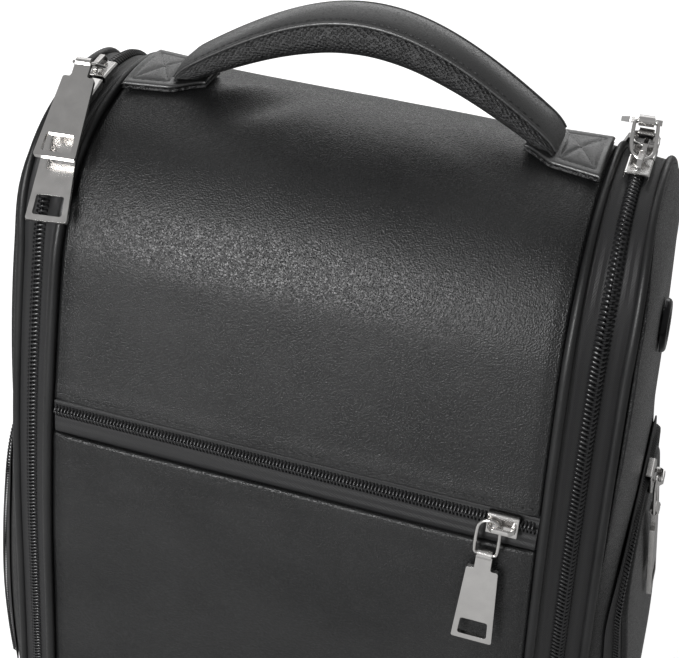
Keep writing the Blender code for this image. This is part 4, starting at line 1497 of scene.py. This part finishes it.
            name = f"{word}_side_pocket_{half}"
            tape = shop.swept(120, section, place, centre_line.length)
            solid = name + "_stringer"
            shop.piece(tape, name + "_tape", shop.finishes.tape, self.side.door, Slot.TAPE, (solid,))
            edge_line = self.arch(way * self.coil.half_width)
            tooth = self.coil.tooth(shop)
            count = int(centre_line.length / self.coil.pitch)
            places = []
            for i in range(count):
                share = (i + (0.75 if way > 0 else 0.25)) / count
                spot, ahead, beside = (
                    self.shape.door_point(self.side, point.x, point.y, self.skin_gap + self.tape)
                    for point in (centre_line.at(share), centre_line.at(share + 0.001), edge_line.at(share))
                )
                heading = (ahead - spot).normalized()
                across = (beside - spot).normalized()
                over = heading.cross(across).normalized()
                over *= math.copysign(1.0, over.x * self.side.value)
                places.append(placed((heading, across, over), spot))
            coil = shop.stamped(tooth, places)
            shop.piece(coil, name + "_coil", shop.finishes.coil, self.side.door, Slot.TAPE)

    def vent(self) -> None:
        """Make the vent's eyelet by a spin, and its screen."""
        shop, word = self.shop, self.side.word
        near = 0.004
        low, middle, high = (
            self.shape.door_point(self.side, 0.0, self.vent_height + step) for step in (-near, 0.0, near)
        )
        hang = (low - high).normalized()
        across = Vector((0.0, self.side.value, 0.0))
        out = across.cross(hang).normalized()
        out *= math.copysign(1.0, out.x * self.side.value)
        turned = placed((across, out.cross(across), out), middle)
        bore, flange, seat, rim = self.vent_bore, self.vent_radius, self.skin_gap, self.vent_rim
        under = -self.thickness
        profile = [
            (bore, under - 0.0006), (bore + 0.0008, under - 0.0010), (0.88 * flange, under - 0.0006),
            (0.90 * flange, under - 0.0001), (bore + self.vent_wall, under), (bore + self.vent_wall, seat),
            (flange, seat), (flange, seat + 0.35 * rim), (flange - 0.0004, seat + 0.7 * rim),
            (flange - 0.0012, seat + 0.95 * rim), (flange - 0.0021, seat + rim),
            (bore + 0.0014, seat + 0.9 * rim), (bore + 0.0005, seat + 0.72 * rim), (bore, seat + 0.40 * rim),
        ]
        bm = bmesh.new()
        verts = [bm.verts.new((radius, 0.0, height)) for radius, height in profile]
        edges = [bm.edges.new((verts[i - 1], verts[i])) for i in range(len(verts))]
        bmesh.ops.spin(
            bm, geom=verts + edges, cent=(0, 0, 0), axis=(0, 0, 1), angle=2 * math.pi, steps=48,
            use_merge=True,
        )
        bmesh.ops.recalc_face_normals(bm, faces=bm.faces)
        bmesh.ops.transform(bm, matrix=turned, verts=bm.verts)
        name = word + "_vent_eyelet"
        black = shop.finishes.black_metal
        shop.piece(bm, name + "_ring", black, self.side.door, Slot.BLACK_METAL, (name,), 40.0)
        bm = bmesh.new()
        bmesh.ops.create_circle(bm, cap_ends=True, cap_tris=True, segments=32, radius=bore - 0.0002)
        bmesh.ops.subdivide_edges(bm, edges=bm.edges, cuts=2, use_grid_fill=True)
        for vert in bm.verts:
            vert.co.z = -0.0003 - 0.0009 * (vert.co.length / bore) ** 2
        bmesh.ops.transform(bm, matrix=turned, verts=bm.verts)
        bmesh.ops.recalc_face_normals(bm, faces=bm.faces)
        name = word + "_vent_mesh"
        item = shop.piece(bm, name + "_screen", shop.finishes.screen, self.side.door, Slot.MESH, (name,))
        shop.thicken(item, self.screen)

    def build(self) -> None:
        """Make every piece of the door."""
        self.panel()
        self.pocket()
        self.zip()
        self.vent()


# Handle


@dataclass
class Handle:
    """The padded handle and the two patches that hold it."""

    shape: BagShape
    shop: Workshop
    centre: float = 0.0092
    width: float = 0.026
    thickness: float = 0.0178
    seam_turn: float = math.radians(42)
    rise: float = 0.0445
    reach: float = 0.0710
    bell_share: float = 0.17
    end_share: float = 0.54
    tail_share: float = 0.06
    tail_reach: float = 0.0058
    patch: float = 0.0040
    patch_width: float = 0.038
    patch_inner_width: float = 0.028
    patch_lap: float = 0.0065
    patch_margin: float = 0.0027
    mesh_layer: float = 0.0026
    stitch_pitch: float = 0.0034
    seam_length: float = 0.172
    tail_bend: float = 0.0040
    tail_landing: float = 0.0004
    tail_thinning: float = 0.8
    hidden: float = 0.0002
    parting: float = 0.00015
    least_full: float = 0.45
    wave: float = 0.05
    wave_size: float = 0.030
    pad_wave: float = 0.03
    pad_wave_size: float = 0.022
    edge_radius: float = 0.00085
    edge_gap: float = 0.0001
    stitch_turn: float = math.radians(9)
    stitch_lift: float = 0.0002
    stitch_length: float = 0.0022
    stitch_radius: float = 0.00030

    @cached_property
    def seam_rise(self) -> float:
        """Height of the seam over the middle of the section."""
        return self.thickness / 2 * math.sin(self.seam_turn)

    @cached_property
    def foot(self) -> float:
        """Height of the patches' top, where the handle's ends land."""
        return self.shape.height + 2 * self.shape.clearance + self.patch

    @cached_property
    def heights(self) -> tuple[float, float]:
        """Heights of the seam at the handle's ends and at its top."""
        top = self.shape.height + self.rise - self.thickness / 2 + self.seam_rise
        drop = (self.thickness / 2 + self.seam_rise) * self.end_share
        end = self.foot
        for _ in range(8):
            slope = 2 * (1 - self.bell_share) * (top - end) / self.reach
            end = self.foot + drop / math.hypot(1, slope)
        return end, top

    def arch(self, reach: float) -> tuple[float, float, float]:
        """Return the seam's x, z and lean at a share from -1 to 1 of the reach."""
        end, top = self.heights
        bell = self.bell_share
        height = (1 - bell) * (1 - reach**2) + bell * (1 + math.cos(math.pi * reach)) / 2
        fall = 2 * (1 - bell) * reach + bell * math.pi / 2 * math.sin(math.pi * reach)
        lean = math.atan((top - end) * fall / self.reach)
        return self.reach * reach, end + (top - end) * height, lean

    def tail(self, share: float) -> tuple[float, float, float]:
        """Return the seam's x, z and lean where the right end bends down to its patch."""
        x, z, lean = self.arch(1.0)
        bend = Vector((x + self.tail_bend, z - self.tail_bend * math.tan(lean)))
        first, last = Vector((x, z)), Vector((x + self.tail_reach, self.foot + self.tail_landing))
        spot = (1 - share) ** 2 * first + 2 * share * (1 - share) * bend + share**2 * last
        way = (1 - share) * (bend - first) + share * (last - bend)
        return spot.x, spot.y, math.atan2(-way.y, way.x)

    def spot(self, along: float, across: float, out: float) -> Vector:
        """Return a point of the handle.

        Args:
            along: The share of the way from the left end to the right, past 0 and 1 on the tails.
            across: The place over the width, in metres.
            out: The height over the seam, in metres.

        Returns:
            The point in the bag's frame.
        """
        reach = 2 * along - 1
        if abs(reach) <= 1:
            x, z, lean = self.arch(reach)
        else:
            x, z, lean = self.tail(min(1.0, (abs(reach) - 1) / self.tail_share))
            x, lean = math.copysign(x, reach), math.copysign(lean, reach)
        return Vector((x + out * math.sin(lean), self.centre + across, z + out * math.cos(lean)))

    def fullness(self, along: float) -> float:
        """Return how full the padding is at a share of the way."""
        reach = abs(2 * along - 1)
        middle = math.cos(min(1.0, reach) * math.pi / 2)
        plain = self.end_share + (1 - self.end_share) * middle
        return plain * (1 - self.tail_thinning * ramp(reach, 1.0, 1.0 + self.tail_share))

    def oval(self, turn: float) -> tuple[float, float]:
        """Return the place across and over the seam at a turn round the section."""
        return self.width / 2 * math.cos(turn), self.thickness / 2 * math.sin(turn) - self.seam_rise

    def stretched(self, share: float) -> float:
        """Return the share of the way with both tails added."""
        tail = self.tail_share / 2
        return share * (1 + 2 * tail) - tail

    def cover(self) -> None:
        """Make the leather top with its rolled edges and their stitching."""
        steps = 24
        sweep = math.pi - 2 * self.seam_turn
        section = [self.oval(math.pi - self.seam_turn - sweep * i / steps) for i in range(steps + 1)]
        section += [(share * self.width / 2, self.hidden) for share in (0.6, 0.2, -0.2, -0.6)]

        def place(share: float, across: float, rise: float) -> Vector:
            """Return a point of the cover."""
            along = self.stretched(share)
            wave = self.wave * ripple(Vector((along * 0.2, across, 0.0)), self.wave_size, 8.4)
            full = wave + max(self.least_full, self.fullness(along))
            return self.spot(along, across, self.parting + rise * full)

        finishes = self.shop.finishes
        bm = self.shop.swept(130, section, place, self.seam_length)
        smooth = finishes.smooth
        item = self.shop.piece(bm, "handle_cover_leather", smooth, ROOT, Slot.LEATHER, ("handle_cover",))
        rim = self.width / 2 * math.cos(self.seam_turn)
        for word, way in (("front", -1), ("back", 1)):
            def edge(share: float, across: float, rise: float) -> Vector:
                """Return a point of the rolled edge."""
                return self.spot(self.stretched(share), way * (rim + self.edge_gap) + across, rise)

            bm = self.shop.swept(130, ring(0.0, 0.0, self.edge_radius, 8), edge, self.seam_length)
            self.shop.piece(bm, f"handle_{word}_edge", smooth, ROOT, Slot.LEATHER)
            self.edge_stitches(word, way)

    def edge_stitches(self, word: str, way: int) -> None:
        """Sew the row of stitches beside one rolled edge."""
        across, rise = self.oval(self.seam_turn + self.stitch_turn)
        count = int(self.seam_length / self.stitch_pitch)
        spots = []
        for i in range(1, count):
            along = i / count
            out = self.stitch_lift + rise * self.fullness(along)
            here = self.spot(along, way * across, out)
            ahead = self.spot(along + 0.004, way * across, out)
            spots.append((here, ahead - here, Vector((0.0, way * 0.7, 0.7))))
        sizes = (self.stitch_length, self.stitch_radius)
        self.shop.stitches(f"handle_{word}_stitches", spots, ROOT, Slot.LEATHER, *sizes)

    def pad(self) -> None:
        """Make the mesh round the front, back and underside."""
        steps = 30
        sweep = math.pi + 2 * self.seam_turn
        section = [self.oval(self.seam_turn - sweep * i / steps) for i in range(steps + 1)]
        section += [(share * self.width / 2, -self.hidden) for share in (-0.4, 0.0, 0.4)]

        def place(share: float, across: float, rise: float) -> Vector:
            """Return a point of the pad."""
            along = self.stretched(share)
            soft = 1 + self.pad_wave * ripple(Vector((along * 0.2, across, rise)), self.pad_wave_size, 2.6)
            return self.spot(along, across * soft, rise * self.fullness(along) - self.parting)

        bm = self.shop.swept(110, section, place, self.seam_length)
        mesh = self.shop.finishes.mesh
        item = self.shop.piece(bm, "handle_pad_mesh", mesh, ROOT, Slot.MESH, ("handle_pad",))

    def build(self) -> None:
        """Make the cover, the pad and the patches."""
        self.cover()
        self.pad()
        for side in Side:
            Patch(self, side).build()


@dataclass
class Patch:
    """One sewn patch of the handle: leather over mesh, puffed between the lines of a crossed box."""

    handle: Handle
    side: Side
    box: tuple[float, float, float] = (0.0142, 0.0285, 0.0145)
    puff: float = 0.0008
    tuck: float = 0.012
    rows: int = 72
    narrowing: float = 0.82
    tuck_end: float = 0.42
    flat: float = 0.0009
    puff_width: float = 0.0011
    leather_round: tuple[float, float] = (-0.0004, 0.0011)
    leather_sheet: float = 0.0007
    stitch_pitch: float = 0.0031
    mesh_round: tuple[float, float] = (-0.0003, 0.0009)
    mesh_foot: float = 0.0011
    mesh_drop: float = 0.0012
    mesh_sheet: float = 0.0008

    @cached_property
    def length(self) -> float:
        """Length from the inner end to the outer one."""
        shape, handle = self.handle.shape, self.handle
        outer = shape.half_width(shape.height) - handle.patch_margin
        return outer - handle.reach + handle.patch_lap

    @cached_property
    def lines(self) -> list[tuple[Vector, Vector]]:
        """The stitched lines of the crossed box, from the inner end and from the middle."""
        near, far, aside = self.box
        inner = self.narrowing * aside
        corners = [Vector((near, -inner)), Vector((far, -aside)), Vector((far, aside)), Vector((near, inner))]
        around = [(corners[i - 1], corners[i]) for i in range(4)]
        return around + [(corners[0], corners[2]), (corners[1], corners[3])]

    def plan(self, u: float, v: float) -> Vector:
        """Return the place from the inner end and from the middle for two shares."""
        handle = self.handle
        wide = handle.patch_inner_width + (handle.patch_width - handle.patch_inner_width) * u
        wide -= self.tuck * (1 - ramp(u, 0.0, self.tuck_end))
        return Vector((self.length * u, wide * (v - 0.5)))

    def lay(self, spot: Vector, height: float) -> Vector:
        """Return the point of a place of the plan at a height over the band."""
        shape, handle = self.handle.shape, self.handle
        depth, up = shape.inside(shape.length / 2 + handle.centre + spot.y, -height)
        return Vector((self.side.value * (handle.reach - handle.patch_lap + spot.x), depth, up))

    def rim(self, u: float, v: float) -> float:
        """Return the way to the nearest outer edge for two shares."""
        return min((1 - u) * self.length, min(v, 1 - v) * self.handle.patch_width)

    def height(self, spot: Vector, rim: float) -> float:
        """Return the leather's height over the band."""
        seam = min(to_segment(spot, first, last) for first, last in self.lines)
        puffed = self.flat + self.puff * (1 - math.exp(-seam / self.puff_width))
        return self.handle.mesh_layer + puffed * math.sqrt(ramp(rim, *self.leather_round))

    def grid(self, rows: int, place: Place) -> bmesh.types.BMesh:
        """Lay a grid over the plan, as many faces each way."""
        size = (self.length, self.handle.patch_width)
        return self.handle.shop.mapped(rows, rows, place, size, flip=self.side is Side.LEFT)

    def leather(self) -> None:
        """Make the leather and its stitching."""
        def place(u: float, v: float) -> Vector:
            """Return the leather's point for two shares."""
            spot = self.plan(u, v)
            return self.lay(spot, self.height(spot, self.rim(u, v)))

        shop = self.handle.shop
        name = "handle_patch_" + self.side.word
        bm = self.grid(self.rows, place)
        item = shop.piece(bm, name + "_leather", shop.finishes.smooth, ROOT, Slot.LEATHER, (name,))
        shop.thicken(item, self.leather_sheet)
        spots = []
        for first, last in self.lines:
            count = max(3, round((last - first).length / self.stitch_pitch))
            for i in range(count):
                here = first.lerp(last, (i + 0.5) / count)
                ahead = first.lerp(last, (i + 0.6) / count)
                rise = self.height(here, self.box[2])
                spot = self.lay(here, rise)
                spots.append((spot, self.lay(ahead, rise) - spot, Vector((0, 0, 1))))
        sizes = (self.handle.stitch_length, self.handle.stitch_radius)
        shop.stitches(name + "_stitches", spots, ROOT, Slot.LEATHER, *sizes)

    def mesh(self) -> None:
        """Make the layer of mesh under the leather."""
        def place(u: float, v: float) -> Vector:
            """Return the mesh's point for two shares."""
            round_off = math.sqrt(ramp(self.rim(u, v), *self.mesh_round))
            rise = self.mesh_foot + (self.handle.mesh_layer - self.mesh_drop) * round_off
            return self.lay(self.plan(u, v), rise)

        shop = self.handle.shop
        name = f"handle_patch_{self.side.word}_mesh"
        bm = self.grid(self.rows // 2, place)
        item = shop.piece(bm, name, shop.finishes.mesh, ROOT, Slot.MESH)
        shop.thicken(item, self.mesh_sheet)

    def build(self) -> None:
        """Make both layers."""
        self.leather()
        self.mesh()


# Zip pulls


@dataclass
class PullSet:
    """The slider, wire link and pull plate of one zip, with softened edges."""

    shop: Workshop
    word: str
    slider_edge: float = 0.00042
    plate_edge: float = 0.00034
    weld_reach: float = 2e-6
    flat_turn: float = math.radians(1.0)
    edge_turn: float = math.radians(38)

    def solid(self, node: str) -> bmesh.types.BMesh:
        """Return a copy of a solid's mesh with its corners joined."""
        bm = bmesh.new()
        bm.from_mesh(frame["nodes"][node].data)
        weld(bm, self.weld_reach)
        return bm

    def metal(self, bm: bmesh.types.BMesh, node: str, ending: str, sharp: float) -> bpy.types.Object:
        """Turn a mesh into the nickel piece that stands for a solid."""
        bmesh.ops.recalc_face_normals(bm, faces=bm.faces)
        body = frame["nodes"][node]["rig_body"]
        nickel = self.shop.finishes.nickel
        return self.shop.piece(bm, node + ending, nickel, body, Slot.NICKEL, (node,), sharp)

    def softened(self, part: str, width: float) -> None:
        """Make a copy of a metal solid with rounded edges.

        Args:
            part: The piece's own name within the set.
            width: The width of the rounding.
        """
        node = f"{self.word}_{part}"
        bm = self.solid(node)
        bmesh.ops.dissolve_limit(bm, angle_limit=self.flat_turn, verts=bm.verts, edges=bm.edges)
        edges = [edge for edge in bm.edges if edge.is_manifold and edge.calc_face_angle(0.0) > self.edge_turn]
        bmesh.ops.bevel(
            bm, geom=edges, offset=width, offset_type="OFFSET", segments=3, profile=0.5, affect="EDGES",
            clamp_overlap=True, material=-1,
        )
        item = self.metal(bm, node, "_metal", 40.0)
        item.modifiers.new("even_faces", "WEIGHTED_NORMAL").keep_sharp = True

    def wire(self) -> None:
        """Make the wire link rounder by one subdivision."""
        node = f"{self.word}_link"
        bm = self.solid(node)
        bmesh.ops.join_triangles(
            bm, faces=bm.faces, angle_face_threshold=math.radians(40), angle_shape_threshold=math.radians(60),
        )
        item = self.metal(bm, node, "_wire", 180.0)
        modifier = item.modifiers.new("round", "SUBSURF")
        modifier.levels = 2
        modifier.render_levels = 2

    def build(self) -> None:
        """Make the three pieces."""
        self.softened("slider", self.slider_edge)
        self.wire()
        self.softened("pull", self.plate_edge)


# Studio


@dataclass
class Studio:
    """The floor, the lights and the camera."""

    position: tuple[float, float, float] = (0.1351, -0.5054, 0.6459)
    right: tuple[float, float, float] = (0.9533, 0.2982, 0.0477)
    up: tuple[float, float, float] = (-0.2165, 0.5646, 0.7964)
    back: tuple[float, float, float] = (0.2106, -0.7696, 0.6028)
    focal: float = 81.25
    fill: float = 0.20
    floor_mirror: float = 0.05
    sky_mirror: float = 0.20
    floor_dark: Colour = (0.46, 0.46, 0.46)
    floor_light: Colour = (0.50, 0.50, 0.50)
    floor_glow: Colour = (0.85, 0.85, 0.85)

    def shown(self, recipe: Recipe, mirrored: float) -> Signal:
        """Return 1 where the camera or glass looks, a share of it in a mirror, and 0 for other light."""
        rays = [
            recipe.node("ShaderNodeLightPath", {}, {}, name)
            for name in ("Is Camera Ray", "Is Glossy Ray", "Is Transmission Ray")
        ]
        return rays[0].apply("MAXIMUM", rays[0].apply("MAXIMUM", rays[0], mirrored * rays[1]), rays[2])

    def camera(self) -> None:
        """Place the camera where the photograph was taken from."""
        lens = bpy.data.cameras.new("camera")
        lens.sensor_fit = "HORIZONTAL"
        lens.sensor_width = 36.0
        lens.lens = self.focal
        lens.clip_start = 0.01
        lens.clip_end = 50.0
        item = bpy.data.objects.new("camera", lens)
        axes = [Vector(axis).normalized() for axis in (self.right, self.up, self.back)]
        item.matrix_world = placed(axes, Vector(self.position))
        bpy.context.scene.collection.objects.link(item)
        bpy.context.scene.camera = item

    def lamp(self, name: str, place: tuple, aim: tuple, size: tuple[float, float], power: float) -> None:
        """Hang one soft rectangular lamp.

        Args:
            name: The lamp's name.
            place: Where it hangs.
            aim: The point that it faces.
            size: Its width and height.
            power: Its power in watts.
        """
        light = bpy.data.lights.new(name, "AREA")
        light.shape = "RECTANGLE"
        light.size, light.size_y = size
        light.energy = power
        item = bpy.data.objects.new(name, light)
        item.location = place
        item.rotation_euler = (Vector(aim) - Vector(place)).to_track_quat("-Z", "Y").to_euler()
        bpy.context.scene.collection.objects.link(item)

    def floor(self) -> None:
        """Lay a pale floor that keeps the bag's shadow."""
        bm = bmesh.new()
        bmesh.ops.create_grid(bm, x_segments=8, y_segments=8, size=6.0)
        mesh = bpy.data.meshes.new("floor")
        bm.to_mesh(mesh)
        bm.free()
        item = bpy.data.objects.new("floor", mesh)
        bpy.context.scene.collection.objects.link(item)
        material, recipe = new_material("floor_paper")
        grain = recipe.noise(recipe.where(Coordinates.OBJECT), 0.004, 2.0)
        seen = self.shown(recipe, self.floor_mirror)
        dress(recipe, {
            "Base Color": recipe.colours(grain, self.floor_dark, self.floor_light),
            "Roughness": 0.9,
            "Specular IOR Level": 0.1,
            "Emission Color": recipe.colours(seen, (0.0, 0.0, 0.0), self.floor_glow),
            "Emission Strength": 1.0,
        })
        mesh.materials.append(material)

    def sky(self) -> None:
        """Light the scene evenly, and show white behind it."""
        world = bpy.data.worlds.new("studio")
        world.use_nodes = True
        bpy.context.scene.world = world
        recipe = Recipe(world.node_tree)
        background = world.node_tree.nodes["Background"]
        feed(recipe.tree, background.inputs["Color"], (1.0, 1.0, 1.0))
        seen = self.shown(recipe, self.sky_mirror)
        feed(recipe.tree, background.inputs["Strength"], self.fill + (1 - self.fill) * seen)

    def build(self) -> None:
        """Set the whole studio."""
        bpy.context.scene.view_settings.view_transform = "Standard"
        self.camera()
        self.floor()
        self.sky()
        self.lamp("front_light", (-0.34, -1.05, 0.72), (-0.03, -0.07, 0.31), (0.3, 0.9), 18.0)
        self.lamp("rear_light", (-0.3, 1.25, 0.62), (0.0, 0.0, 0.37), (1.8, 0.5), 4.5)
        self.lamp("top_light", (-0.25, 0.75, 1.25), (0.0, 0.0, 0.37), (1.2, 0.8), 2.8)


def main() -> None:
    """Build the studio and every piece of the bag, and report them."""
    logging.basicConfig(level=logging.INFO, format="%(name)s: %(message)s")
    shape = BagShape()
    shop = Workshop(Finishes())
    band = Band(shape, shop)
    assemblies = [Studio(), band, Inside(shape, shop), FrontZip(band), Handle(shape, shop)]
    for side in Side:
        assemblies += [DoorZip(shape, shop, side), Door(shape, shop, side)]
        assemblies += [PullSet(shop, f"{side.word}_{place}") for place in ("upper", "lower", "side_pocket")]
    assemblies.append(PullSet(shop, "front_pocket"))
    for assembly in assemblies:
        assembly.build()
    for item in shop.made:
        body = item.parent.name if item.parent else ROOT
        LOG.info("%s on %s: %d faces", item.name, body, len(item.data.polygons))


if __name__ == "__main__":
    main()
